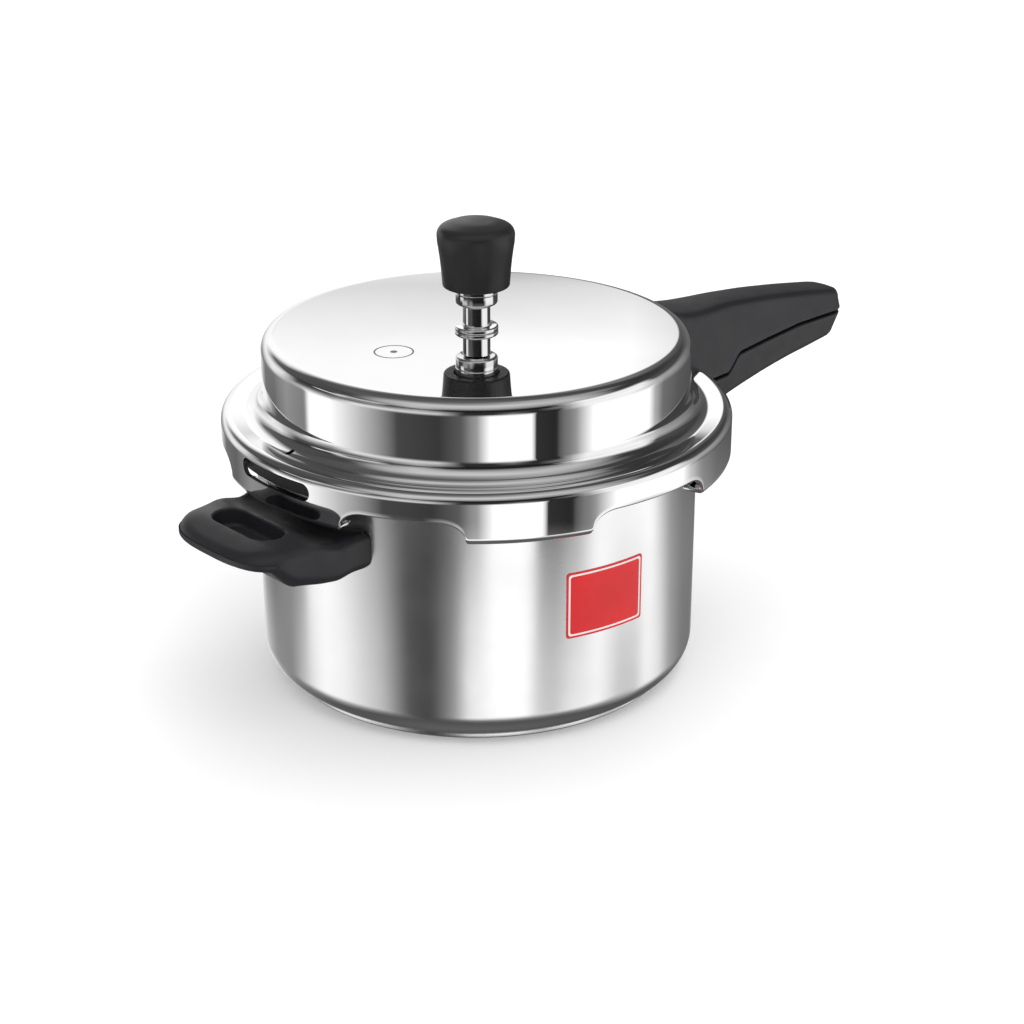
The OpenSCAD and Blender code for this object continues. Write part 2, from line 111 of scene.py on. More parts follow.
def soft_curve(points, width, base=0.0):
    """A function of the radius: (distance from the pot's wall, value above base) points, joined by
    straight lines whose corners are rounded over width."""
    distances, values = zip(*points)
    offsets = np.linspace(-width / 2, width / 2, 9)
    return lambda r: base + float(np.mean(np.interp(r - POT_R + offsets, distances, values)))


# ---------------------------------------------------------------- meshes

def mesh(name, points, faces, material, body, replaces=(), slot=None, sharp=38):
    """A smooth-shaded piece from points in millimetres, riding on a CAD body."""
    data = bpy.data.meshes.new(name)
    work = bmesh.new()
    corners = [work.verts.new((x * MM, y * MM, z * MM)) for x, y, z in points]
    for face in faces:
        if len(set(face)) > 2:
            try:
                work.faces.new([corners[i] for i in face])
            except ValueError:
                pass
    bmesh.ops.remove_doubles(work, verts=work.verts, dist=1e-7)
    bmesh.ops.recalc_face_normals(work, faces=work.faces)
    work.to_mesh(data)
    work.free()
    data.shade_smooth()
    data.set_sharp_from_angle(angle=radians(sharp))
    piece = bpy.data.objects.new(name, data)
    bpy.context.scene.collection.objects.link(piece)
    data.materials.append(material)
    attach(piece, body)
    if replaces:
        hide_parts(*replaces)
    return piece


def skin(rings, caps=(False, False)):
    """Faces between neighbouring closed rings of equal length, with optional end caps."""
    count = len(rings[0])
    faces = []
    for i in range(len(rings) - 1):
        for k in range(count):
            a, b = i * count + k, i * count + (k + 1) % count
            faces.append([a, b, b + count, a + count])
    if caps[0]:
        faces.append(list(range(count)))
    if caps[1]:
        last = (len(rings) - 1) * count
        faces.append([last + k for k in range(count)])
    return [point for ring in rings for point in ring], faces


def circle(r, z, count, centre=(0.0, 0.0), start=0.0):
    """A ring of points about a vertical axis, from an angle in radians."""
    angles = [start + 2 * pi * i / count for i in range(count)]
    return [(centre[0] + r * cos(a), centre[1] + r * sin(a), z) for a in angles]


def lathe(profile, steps=192, start=0.0, sweep=360.0, centre=(0.0, 0.0)):
    """A closed profile of (r, z) points turned about a vertical axis."""
    full = sweep >= 360.0
    count = steps if full else steps + 1
    rings = []
    for i in range(count):
        a = radians(start + sweep * i / steps)
        rings.append([(centre[0] + r * cos(a), centre[1] + r * sin(a), z) for r, z in profile])
    if full:
        rings.append(rings[0])
        return skin(rings)
    return skin(rings, caps=(True, True))


def join(*parts):
    """Several (points, faces) pairs as one."""
    points, faces = [], []
    for part_points, part_faces in parts:
        base = len(points)
        points += part_points
        faces += [[base + i for i in face] for face in part_faces]
    return points, faces


def moved(part, matrix):
    """A (points, faces) pair moved by a 4x4 matrix in millimetres."""
    return [tuple(matrix @ Vector(point)) for point in part[0]], part[1]


# ---------------------------------------------------------------- materials

def new_material(name):
    """An empty node material with its Principled shader."""
    material = bpy.data.materials.new(name)
    material.use_nodes = True
    return material, material.node_tree, material.node_tree.nodes["Principled BSDF"]


def add(tree, kind, **values):
    """A node with its attributes and inputs set, or linked where the value is an output."""
    node = tree.nodes.new(kind)
    for key, value in values.items():
        if not key.startswith("in_"):
            setattr(node, key, value)
            continue
        socket = node.inputs[key[3:].replace("_", " ")]
        if isinstance(value, bpy.types.NodeSocket):
            tree.links.new(value, socket)
        else:
            socket.default_value = value
    return node


def noise(tree, scale, detail=3.0, stretch=(1, 1, 1)):
    """Noise in the piece's own space."""
    place = add(tree, "ShaderNodeTexCoord").outputs["Object"]
    mapped = add(tree, "ShaderNodeMapping", in_Vector=place, in_Scale=stretch).outputs["Vector"]
    return add(tree, "ShaderNodeTexNoise", in_Vector=mapped, in_Scale=scale, in_Detail=detail).outputs["Fac"]


NOISE_LOW, NOISE_HIGH = 0.3, 0.7   # the part of a noise's range that it mostly stays in


def ranged(tree, source, low, high, source_low=NOISE_LOW, source_high=NOISE_HIGH):
    """Maps a value to low..high."""
    return add(tree, "ShaderNodeMapRange", in_Value=source, in_From_Min=source_low,
               in_From_Max=source_high, in_To_Min=low, in_To_Max=high).outputs["Result"]


def tinted(tree, source, dark, light):
    """A colour between dark and light, by a noise."""
    ramp = add(tree, "ShaderNodeValToRGB", in_Fac=source)
    first, second = ramp.color_ramp.elements
    first.position, first.color = NOISE_LOW, (*dark, 1)
    second.position, second.color = NOISE_HIGH, (*light, 1)
    return ramp.outputs["Color"]


BUMP_DEPTH = 0.0002                # metres


def bumped(tree, shader, height, strength):
    """Bump on a shader's normal."""
    bump = add(tree, "ShaderNodeBump", in_Strength=strength, in_Distance=BUMP_DEPTH, in_Height=height)
    tree.links.new(bump.outputs["Normal"], shader.inputs["Normal"])


def surface(name, colour, rough, shade, patches, gloss, spread, grain, bump, stretch=(1, 1, 1), detail=3.0):
    """A material with fine variation. Its colour darkens to shade, its roughness varies by spread,
    and patches, gloss and grain are the scales of the noises for colour, roughness and bump."""
    material, tree, shader = new_material(name)
    dark = [c * shade for c in colour]
    tree.links.new(tinted(tree, noise(tree, patches), dark, colour), shader.inputs["Base Color"])
    varied = noise(tree, gloss, stretch=stretch)
    roughness = ranged(tree, varied, rough * (1 - spread), rough * (1 + spread))
    tree.links.new(roughness, shader.inputs["Roughness"])
    bumped(tree, shader, noise(tree, grain, detail, stretch), bump)
    return material, shader


def metal(name, colour, rough, stretch=(1, 1, 1), bump=0.02, spread=0.3):
    """A polished or satin metal."""
    material, shader = surface(name, colour, rough, shade=0.96, patches=30.0, gloss=55.0, spread=spread,
                               grain=1400.0, bump=bump, stretch=stretch)
    shader.inputs["Metallic"].default_value = 1.0
    return material


def moulded(name, colour, rough, bump=0.12):
    """Moulded plastic or rubber with a fine matte grain."""
    material, shader = surface(name, colour, rough, shade=0.86, patches=45.0, gloss=120.0, spread=0.12,
                               grain=900.0, bump=bump, detail=2.0)
    shader.inputs["Specular IOR Level"].default_value = 0.45
    return material


MIRROR = metal("mirror_steel", (0.94, 0.94, 0.945), 0.022, bump=0.002)
SATIN = metal("satin_steel", (0.93, 0.93, 0.935), 0.17, bump=0.03, spread=0.1)
DISC = metal("disc_steel", (0.9, 0.9, 0.905), 0.2, stretch=(1, 1, 8), bump=0.05)
CHROME = metal("chrome", (0.93, 0.93, 0.94), 0.03, bump=0.003)
BRIGHT = metal("bright_steel", (0.78, 0.78, 0.79), 0.22, bump=0.05)
PRESSED = metal("pressed_steel", (0.62, 0.62, 0.64), 0.36, bump=0.08)
ZINC = metal("zinc_steel", (0.6, 0.61, 0.63), 0.3, bump=0.06)
PLUG_BRASS = metal("plug_brass", (0.78, 0.66, 0.42), 0.25, bump=0.05)
ALLOY = metal("core_alloy", (0.55, 0.55, 0.56), 0.5, bump=0.15)
PLASTIC = moulded("charcoal_plastic", (0.019, 0.019, 0.022), 0.4)
KNOB_PLASTIC = moulded("knob_plastic", (0.018, 0.018, 0.02), 0.38)
RUBBER = moulded("gasket_rubber", (0.012, 0.012, 0.012), 0.5)
LABEL_RED = moulded("label_red", (0.72, 0.012, 0.014), 0.3, bump=0.01)
LABEL_WHITE = moulded("label_white", (0.85, 0.85, 0.85), 0.35, bump=0.01)
ETCH = moulded("etched_mark", (0.16, 0.16, 0.165), 0.55, bump=0.05)


# ---------------------------------------------------------------- pot

def pot_profile():
    """The pot's sheet, from the middle of its base round the wall to the rim and back inside."""
    corner_x, corner_z = POT_R - CORNER_R, DISC_T + CORNER_R
    flat_x, wall_z = corner_x - 0.5, corner_z + 0.5
    floor_z = DISC_T + POT_T
    ring_r, rim_t, bend, neck_r, edge_r = POT_R + 3.6, 2.3, 2.5, 1.2, 0.8
    return ([(0, DISC_T), (40, DISC_T), (flat_x, DISC_T)]
            + arc(corner_x, corner_z, CORNER_R, -90, 0, 18)
            + [(POT_R, z) for z in np.linspace(wall_z, RIM_Z - 4.5, 8)]
            + arc(POT_R + neck_r, RIM_Z - rim_t - neck_r, neck_r, 180, 90, 4)
            + arc(ring_r - edge_r, RIM_Z - rim_t + edge_r, edge_r, -90, 0, 4)
            + arc(ring_r - edge_r, RIM_Z - edge_r, edge_r, 0, 90, 4)
            + arc(POT_R - POT_T + bend, RIM_Z - bend, bend, 90, 180, 6)
            + [(POT_R - POT_T, z) for z in np.linspace(RIM_Z - 3, wall_z, 8)]
            + arc(corner_x, corner_z, CORNER_R - POT_T, 0, -90, 18)
            + [(flat_x, floor_z), (40, floor_z), (0, floor_z)])


def lug_profile():
    """Section of a lug, which reaches out from the rim and turns down."""
    out, wall, low, thick = POT_R + 10, 2.2, TAB_Z + 2.2, 2.3
    return ([(POT_R + 1, RIM_Z - thick), (out - wall - 1, RIM_Z - thick)]
            + arc(out - wall - 1, RIM_Z - thick - 1, 1, 90, 0, 3)
            + arc(out - wall + 0.7, low + 0.7, 0.7, 180, 270, 3)
            + arc(out - 0.7, low + 0.7, 0.7, -90, 0, 3)
            + arc(out - 2, RIM_Z - 2, 2, 0, 90, 5)
            + [(POT_R + 1, RIM_Z)])


def make_pot():
    """The shell with its six lugs, and the disc under it."""
    steps, lug_steps, lug_half = 288, 24, 10
    lugs = [lathe(lug_profile(), lug_steps, 60 * i - lug_half, 2 * lug_half) for i in range(6)]
    points, faces = join(lathe(pot_profile(), steps), *lugs)
    mesh("pot_shell", points, faces, SATIN, "pot", ["pot_body"], "pot_steel")
    edge_r = 0.7
    disc = ([(0, 0), (60, 0)] + arc(DISC_R - edge_r, edge_r, edge_r, -90, 0, 4)
            + [(DISC_R, DISC_T - 0.4), (DISC_R - 0.5, DISC_T), (60, DISC_T), (0, DISC_T)])
    mesh("bonded_disc", *lathe(disc, steps), DISC, "pot", ["base_disc"], "disc_metal")


def make_label():
    """A sticker bent round the wall: red, with a white line just inside its edge."""
    low, high = box_mm("label")
    direction = degrees(atan2((low.y + high.y) / 2, (low.x + high.x) / 2))
    half_angle = 11.5
    half_w = radians(half_angle) * POT_R
    half_h = (high.z - low.z) / 2
    middle_z = (high.z + low.z) / 2
    corner_r = 1.3
    raised = 0.22
    line_from, line_to = 0.9, 1.7

    def on_wall(flat, lift):
        """A ring of flat (x, z) points, bent round the wall and lifted off it."""
        turned = [(radians(direction) + x / POT_R, z) for x, z in flat]
        return [((POT_R + lift) * cos(a), (POT_R + lift) * sin(a), middle_z + z) for a, z in turned]

    corners = []
    for sx, sz, start in ((1, 1, 0), (-1, 1, 90), (-1, -1, 180), (1, -1, 270)):
        corners += arc(sx * (half_w - corner_r), sz * (half_h - corner_r), corner_r, start, start + 90, 6)
    outline = []
    for (x, z), (nx, nz) in zip(corners, corners[1:] + corners[:1]):
        steps = max(1, int(hypot(nx - x, nz - z) / 2))
        outline += [(x + (nx - x) * k / steps, z + (nz - z) * k / steps) for k in range(steps)]
    rings = [on_wall(outline, 0.0), on_wall(outline, raised)]
    for inset in (line_from, line_to, 3.0, 6.0, 9.5, 12.5):
        fx, fz = (half_w - inset) / half_w, (half_h - inset) / half_h
        rings.append(on_wall([(x * fx, z * fz) for x, z in outline], raised))
    points, faces = skin(rings, caps=(False, True))
    sticker = mesh("label_sticker", points, faces, LABEL_RED, "pot", ["label"], "label_film", sharp=60)
    sticker.data.materials.append(LABEL_WHITE)
    for face in sticker.data.polygons[2 * len(outline):3 * len(outline)]:
        face.material_index = 1


# ---------------------------------------------------------------- lid

WIDE_TAB_HALF = 19.0
TAB_HALF = 13.3
ARCH_HALF_W = 11.0
ARCH_H = 7.2
SLOT_HALF_L = 22.2
SLOT_HALF_H = 3.8
SLOT_Z = RIM_Z + 2.9
DRAIN_X = POT_R + 2.5
DRAIN_ANGLE = 178.0
DRAIN_HALF_L = 2.1
DRAIN_HALF_W = 1.2
SUPPORT = 0.4                      # how close to a bend the row of points is that keeps a wall flat
LIP_REACH = SKIRT_R - LID_T - (POT_R + 4.6)


def arch_side():
    """The end of a tab as (distance along the skirt, height, how much of the lip there is).

    The distance is 0 at the tab's end and grows into the tab."""
    side = [(-0.35 - ARCH_HALF_W * (1 - cos(t)), GAP_Z - ARCH_H * (1 - sin(t)), 0.0)
            for t in np.radians(range(90, -1, -9))]
    side += [(-0.2, TAB_Z + 1.5, 0.25), (-0.05, TAB_Z + 0.9, 0.6), (0.2, TAB_Z + 0.4, 0.85),
             (0.6, TAB_Z + 0.1, 0.96), (1.1, TAB_Z, 1.0)]
    return side


def slot_half_height(angle):
    """Half height of the release slot at an angle, and next to nothing past its ends."""
    along = SKIRT_R * sin(radians(angle - 180))
    over = max(0.0, abs(along) - (SLOT_HALF_L - SLOT_HALF_H))
    if abs(angle - 180) > 90 or over >= SLOT_HALF_H:
        return 0.02
    return max(0.02, sqrt(SLOT_HALF_H ** 2 - over ** 2))


def drain_half_length(angle):
    """Half length of the small drain hole at an angle, with straight sides past its ends."""
    across = min(DRAIN_HALF_W, abs(DRAIN_X * sin(radians(angle - DRAIN_ANGLE))))
    return DRAIN_HALF_L - DRAIN_HALF_W + sqrt(DRAIN_HALF_W ** 2 - across ** 2)


def hole_angles(middle, reach, radius, cap):
    """Angles of the columns at a hole: its ends, and closer together over the rounding cap long."""
    steps = [sin(radians(t)) for t in range(0, 91, 9)]
    along = [reach - cap + cap * step for step in steps]
    return [middle + side * degrees(asin(a / radius)) for side in (-1, 1) for a in along]


SLOT_ANGLES = hole_angles(180.0, SLOT_HALF_L, SKIRT_R, SLOT_HALF_H)
DRAIN_ANGLES = hole_angles(DRAIN_ANGLE, DRAIN_HALF_W, DRAIN_X, DRAIN_HALF_W)


def skirt_edge():
    """(angle in degrees, height, share of the lip) once round the lid's lower edge."""
    per_mm = degrees(1 / SKIRT_R)
    edge = []
    for i in range(6):
        middle = 60.0 * i
        half = WIDE_TAB_HALF if i % 3 == 0 else TAB_HALF
        rise = [(middle - half + s * per_mm, z, lip) for s, z, lip in arch_side()]
        fall = [(middle + half - s * per_mm, z, lip) for s, z, lip in reversed(arch_side())]
        tab = [(a, TAB_Z, 1.0) for a in np.arange(rise[-1][0] + 1, fall[0][0] - 0.5, 1.0)]
        following = WIDE_TAB_HALF if (i + 1) % 3 == 0 else TAB_HALF
        gap_end = middle + 60 - following + arch_side()[0][0] * per_mm
        gap = [(a, GAP_Z, 0.0) for a in np.arange(fall[-1][0] + 1, gap_end - 0.5, 1.0)]
        edge += rise + tab + fall + gap
    holes = SLOT_ANGLES + DRAIN_ANGLES
    clear = [column for column in edge if min(abs(column[0] - a) for a in holes) > 0.1]
    return sorted(clear + [(a, TAB_Z, 1.0) for a in set(holes)])


def lower_edge(bottom, lip):
    """(r, z) points round the skirt's lower edge, from its outside to its inside."""
    inner = SKIRT_R - LID_T
    bend_r = 2.6
    plain = ([(SKIRT_R, bottom + bend_r)]
             + arc(SKIRT_R - LID_T / 2, bottom + LID_T / 2, LID_T / 2, 0, -180, 19)
             + [(inner, bottom + bend_r)])
    bend_x, bend_z = SKIRT_R - bend_r, bottom + bend_r
    end = inner - LIP_REACH
    full = ([(SKIRT_R, bend_z + SUPPORT)]
            + arc(bend_x, bend_z, bend_r, 0, -90, 6) + [(SKIRT_R - 5, bottom), (end + 2, bottom)]
            + arc(end + LID_T / 2, bottom + LID_T / 2, LID_T / 2, -90, -270, 5) + [(end + 2, bottom + LID_T)]
            + arc(bend_x, bend_z, bend_r - LID_T, -90, 0, 3) + [(inner, bend_z + SUPPORT)])
    return [(p[0] + (f[0] - p[0]) * lip, p[1] + (f[1] - p[1]) * lip) for p, f in zip(plain, full)]


class Face:
    """One face of the lid's sheet: the outside with inset 0, the inside with inset LID_T."""

    EDGE_R = 5.8         # bend between the flat top and the drum's wall
    FOOT_R = 7.5         # bend at the foot of the drum
    FOOT_DROP = 24.8     # from the flat top down to that bend's centre
    FLANGE_R = 4.0       # bend between the shoulder and the skirt
    RISE = 6.0           # slope of the shoulder in degrees, upwards to the outside
    DRAIN_ROOM = 3.0     # half width of the strip that holds the drain hole

    def __init__(self, inset):
        self.inset = inset
        self.foot_x, self.foot_z = DRUM_R + self.FOOT_R, LID_Z - self.FOOT_DROP
        self.flange_x = SKIRT_R - self.FLANGE_R
        x0, z0 = arc(self.foot_x, self.foot_z, self.FOOT_R, 270 + self.RISE, 0)[0]
        dx, dz = arc(0, 0, self.FLANGE_R, 90 + self.RISE, 0)[0]
        slope = tan(radians(self.RISE))
        self.flange_z = z0 + (self.flange_x + dx - x0) * slope - dz
        self.line = (x0, z0 - inset / cos(radians(self.RISE)), slope)
        self.edge = arc(DRUM_R - self.EDGE_R, LID_Z - self.EDGE_R, self.EDGE_R - inset, 90, 0, 12)
        self.flange = arc(self.flange_x, self.flange_z, self.FLANGE_R - inset, 90 + self.RISE, 0, 14)

    def at(self, r):
        """Point of the gutter, the shoulder or the flange at a radius."""
        foot_r = self.FOOT_R + self.inset
        x0, z0, slope = self.line
        if r < self.foot_x + foot_r * sin(radians(self.RISE)):
            return r, self.foot_z - sqrt(max(0.0, foot_r ** 2 - (r - self.foot_x) ** 2))
        if r < self.flange[0][0]:
            return r, z0 + (r - x0) * slope
        over = min(r, SKIRT_R - self.inset) - self.flange_x
        return r, self.flange_z + sqrt(max(0.0, (self.FLANGE_R - self.inset) ** 2 - over ** 2))

    def points(self, angle):
        """(r, z) from the middle of the lid to just above the skirt's lower edge, and the rows of holes."""
        flat_r = DRUM_R - self.EDGE_R - SUPPORT
        flat = [(r, LID_Z - self.inset) for r in (4.6, 12, 25, 40, 55, 70, 80, flat_r)]
        wall_z = np.linspace(self.edge[-1][1] - SUPPORT, self.foot_z + SUPPORT, 5)
        wall = [(DRUM_R - self.inset, z) for z in wall_z]
        foot_r = self.FOOT_R + self.inset
        inner, outer = DRAIN_X - self.DRAIN_ROOM, DRAIN_X + self.DRAIN_ROOM
        turn = degrees(acos((self.foot_x - inner) / foot_r))
        foot = arc(self.foot_x, self.foot_z, foot_r, 180, 180 + turn, 8)
        half = drain_half_length(angle)
        before = [self.at(inner + (self.DRAIN_ROOM - half) * f) for f in (0.2, 0.4, 0.6, 0.8)]
        drain = [self.at(DRAIN_X - half), self.at(DRAIN_X + half)]
        after = [self.at(DRAIN_X + half + (self.DRAIN_ROOM - half) * f) for f in (0.2, 0.4, 0.6, 0.8, 1.0)]
        after += [self.at(outer + (self.flange[0][0] - outer) * f) for f in (0.1, 0.5, 0.9)]
        rise = slot_half_height(angle)
        slot_top = SLOT_Z + rise
        skirt_z = (max(self.flange_z - SUPPORT, (self.flange_z + slot_top) / 2), slot_top, SLOT_Z - rise)
        slot = [(SKIRT_R - self.inset, z) for z in skirt_z]
        rows = flat + self.edge + wall + foot + before + drain + after + self.flange + slot
        return rows, len(flat + self.edge + wall + foot + before), len(rows) - 2


def make_lid():
    """The lid pressed from one sheet, with its locking tabs, release slot and drain hole."""
    outer, inner = Face(0.0), Face(LID_T)
    edge = skirt_edge()
    columns = []
    for angle, bottom, lip in edge:
        a = radians(angle)
        front, drain_row, slot_row = outer.points(angle)
        profile = front + lower_edge(bottom, lip) + inner.points(angle)[0][::-1]
        columns.append([(r * cos(a), r * sin(a), z) for r, z in profile])
    total, count = len(columns), len(columns[0])
    last = count - 1

    def open_between(i, angles):
        middle = (edge[i][0] + edge[(i + 1) % total][0]) / 2
        return min(angles) < middle < max(angles)

    holes = []
    for angles, row in ((SLOT_ANGLES, slot_row), (DRAIN_ANGLES, drain_row)):
        holes.append(({i for i in range(total) if open_between(i, angles)}, row))
    faces = []
    for i in range(total):
        j = (i + 1) % total
        gone = set()
        for spans, row in holes:
            if i in spans:
                gone |= {row, last - row - 1}
        faces += [[i * count + k, j * count + k, j * count + (k + 1) % count, i * count + (k + 1) % count]
                  for k in range(count) if k not in gone]
    for spans, row in holes:
        for i in spans:
            j = (i + 1) % total
            faces += [[i * count + k, j * count + k, j * count + last - k, i * count + last - k]
                      for k in (row, row + 1)]
        for c in (min(spans), max(spans) + 1):
            faces.append([c * count + k for k in (row, row + 1, last - row - 1, last - row)])
    points = [point for column in columns for point in column]
    mesh("lid_shell", points, faces, MIRROR, "lid", ["lid"], "lid_steel", sharp=50)


def make_mark():
    """A plain etched ring with a dot, where the flat top carries its mark."""
    centre = (-45.2, 0.0)
    low, high = LID_Z - 0.02, LID_Z + 0.04
    parts = [lathe([(inner, low), (outer, low), (outer, high), (inner, high)], steps, centre=centre)
             for inner, outer, steps in ((7.7, 8.4, 64), (0, 1.5, 32))]
    points, faces = join(*parts)
    mesh("lid_mark", points, faces, ETCH, "lid", slot="lid_steel")


def make_gasket():
    """The rubber ring between rim and lid, with a groove that lets steam press its lips apart."""
    room = Face(LID_T + 0.5)
    outer, inner, corner = SKIRT_R - room.inset, POT_R + 0.8, 1.0
    groove = inner + 5.5
    top = room.foot_z - Face.FOOT_R - room.inset
    profile = (arc(outer - corner, RIM_Z + corner, corner, -90, 0, 4)
               + room.flange[::-1]
               + [room.at(room.foot_x + 1), (inner + 2, top)]
               + arc(inner + corner, top - corner, corner, 90, 180, 4)
               + arc(inner + corner, RIM_Z + 6.2 + corner, corner, 180, 265, 4)
               + arc(groove - 0.7, RIM_Z + 4.5, 0.7, 80, 0, 3)
               + arc(groove - 0.7, RIM_Z + 3.4, 0.7, 0, -80, 3)
               + arc(inner + corner, RIM_Z + corner, corner, 90, 270, 8))
    mesh("gasket_ring", *lathe(profile, 240), RUBBER, "seal", ["gasket"], "gasket_rubber", sharp=60)


# ---------------------------------------------------------------- handles

def rounded_section(half_w, z0, z1, r_top, r_low, crown, taper_low, taper_top):
    """(y, z) points round a handle's section, widest at the seam side, with soft corners."""
    r_top = min(r_top, half_w * 0.9, (z1 - z0) * 0.48)
    r_low = min(r_low, half_w * 0.9, (z1 - z0) * 0.48)
    top_w, low_w = half_w * (1 - taper_top), half_w * (1 - taper_low)
    right = [(min(low_w * f, low_w - r_low), z0) for f in (0.02, 0.22, 0.42, 0.62, 0.82)]
    right += arc(low_w - r_low, z0 + r_low, r_low, -90, 0, 6)[1:]
    right += [(low_w + (top_w - low_w) * f, z0 + r_low + (z1 - r_top - z0 - r_low) * f)
              for f in (0.2, 0.4, 0.6, 0.8)]
    right += arc(top_w - r_top, z1 - r_top, r_top, 0, 90, 8)
    right += [((top_w - r_top) * f, z1) for f in (0.8, 0.6, 0.4, 0.2, 0.02)]
    section = right + [(-y, z) for y, z in reversed(right)]
    middle = (z0 + z1) / 2
    return [(y, z + crown * smoothstep(middle, z1, z) * (1 - (y / half_w) ** 2)) for y, z in section]


def loft_handle(stations, shape):
    """Rings of a handle. Near the axis they bend with the wall, further out they are flat.

    shape(r) gives the section's measures and how far its upper side leans out."""
    rings = []
    for r in stations:
        section, lean = shape(r)
        bend = 1 - smoothstep(POT_R + 20, POT_R + 55, r)
        ring = []
        for y, z in rounded_section(**section):
            x = bend * sqrt(r * r - y * y) + (1 - bend) * r + lean * (z - SEAM_Z - 13.8)
            ring.append((x, y, z))
        rings.append(ring)
    return skin(rings, caps=(True, True))


TIP_X = HANDLE_TIP - POT_R
HANDLE_HALF_W = soft_curve([(-15, 18.0), (20, 18.0), (48, 13.6), (TIP_X - 30, 13.0), (TIP_X + 20, 12.6)], 16)
SEAM = soft_curve([(-95, 0), (50.5, 0.1), (57.5, 8.6), (76, 11), (100, 13.6), (TIP_X + 20, 14.6)], 3, SEAM_Z)
UPPER_TOP = soft_curve([(-15, -5.2), (0, -5.4), (5, -7.6), (16, -14.2), (30, -16.4), (55, -17.2), (80, -19.4),
                        (105, -22.6), (TIP_X, -27.4), (TIP_X + 20, -31)], 12, LID_Z)
LOWER_BOTTOM = soft_curve([(-15, -27), (10, -24.8), (30, -20.4), (48, -14.2), (62, -10.6), (80, -6.6),
                           (98, -3.4), (119, -0.8), (TIP_X, 1.2)], 14, SEAM_Z)


def tip_inset(r, tip, radius):
    """How far an outline of that corner radius has drawn in at r, close to the tip."""
    over = min(1.0, max(0.0, (r - tip + radius) / radius))
    return radius * (1 - sqrt(1 - over * over))


def handle_stations(start, tip, steps, more):
    """Station radii: dense at the given steps and towards the tip, with more where the lid needs them."""
    coarse = list(np.linspace(start, tip - 10, 46))
    close = [tip - 10 + 10 * sin(radians(a)) for a in range(6, 91, 6)]
    fine = [s + d for s in steps for d in (-2.4, -1.6, -0.9, -0.4, 0.0, 0.4, 0.9, 1.6, 2.4)]
    stations = [r for r in coarse if min(abs(r - s) for s in more) > 0.3] + close + fine + more
    return sorted(set(stations))


LID_FACE = Face(0.0)


def upper_shape(r):
    """Section of the half of the long handle that is on the lid."""
    low = LID_FACE.at(max(r, DRUM_R))[1] - 0.3 if r < SKIRT_R else SEAM(r)
    half_w = HANDLE_HALF_W(r) - tip_inset(r, HANDLE_TIP - 0.4, 9.0)
    high = UPPER_TOP(r) - tip_inset(r, HANDLE_TIP - 0.4, 4.5)
    return dict(half_w=half_w, z0=low, z1=high, r_top=3.6, r_low=0.7, crown=1.0, taper_low=0.0,
                taper_top=0.13), 0.0


def lower_shape(r):
    """Section of the half of the long handle that is on the pot. It dips under the lid's tab."""
    under_tab = TAB_Z - 0.6
    clear = min(1.0, max(0.0, (r - SKIRT_R - 2.3) / 2))
    high = under_tab + (SEAM(r) - SEAM_GAP - under_tab) * clear
    lean = 0.30 * smoothstep(HANDLE_TIP - 30, HANDLE_TIP, r)
    half_w = HANDLE_HALF_W(r) - tip_inset(r, HANDLE_TIP - 0.6, 9.0)
    low = LOWER_BOTTOM(r) + tip_inset(r, HANDLE_TIP - 0.6, 5.0)
    return dict(half_w=half_w, z0=low, z1=high, r_top=0.7, r_low=4.0, crown=0.0, taper_low=0.15,
                taper_top=0.0), lean


def make_long_handle():
    """The two mouldings of the long handle."""
    steps = (POT_R + 50.5, POT_R + 57.5)
    at_lid = [DRUM_R + Face.FOOT_R * (1 - cos(radians(t))) for t in range(10, 90, 10)]
    at_lid += [SKIRT_R - Face.FLANGE_R * cos(radians(t)) for t in range(90, 10, -20)]
    upper = handle_stations(DRUM_R - 0.3, HANDLE_TIP - 0.4, steps, at_lid + [SKIRT_R - 0.01, SKIRT_R + 0.15])
    mesh("lid_handle_moulding", *loft_handle(upper, upper_shape), PLASTIC, "lid", ["lid_handle"],
         "handle_plastic", sharp=60)
    lower = handle_stations(POT_R - 0.3, HANDLE_TIP - 0.6, steps, [SKIRT_R + 2.3, SKIRT_R + 4.3])
    mesh("pot_handle_moulding", *loft_handle(lower, lower_shape), PLASTIC, "pot", ["pot_handle"],
         "handle_plastic", sharp=60)


RECESS_X = POT_R + 26.5
RECESS_HALF_L = 19.5
RECESS_HALF_W = 7.5


def helper_reaches(x, y, inset):
    """True inside the helper handle's plan, drawn in by inset everywhere but at the pot."""
    taper, rounding, squareness, fullness = 3.2, 17.5, 3.2, 2.4
    if x < sqrt(max(0.0, POT_R ** 2 - y * y)) - 0.3:
        return False
    half_w = (HELPER_HALF_W - taper * smoothstep(POT_R + 2, POT_R + 34, x)) - inset
    end = HELPER_TIP - inset
    if abs(y) >= half_w:
        return False
    return x < end - rounding + rounding * (1 - (abs(y) / half_w) ** squareness) ** (1 / fullness)


def helper_radius(direction, inset):
    """Distance from the middle of the recess to the plan's edge in a direction."""
    low, high = 0.0, 90.0
    dx, dy = cos(direction), sin(direction)
    for _ in range(26):
        middle = (low + high) / 2
        if helper_reaches(RECESS_X + dx * middle, dy * middle, inset):
            low = middle
        else:
            high = middle
    return low


def recess_radius(direction, grow):
    """Distance from the middle of the recess to its oval edge in a direction."""
    dx, dy = abs(cos(direction)), abs(sin(direction))
    half_w, straight = RECESS_HALF_W + grow, RECESS_HALF_L - RECESS_HALF_W
    if dy * half_w <= straight * dx:
        return half_w / dx
    b, c = straight * dy, straight ** 2 - half_w ** 2
    return b + sqrt(b * b - c)


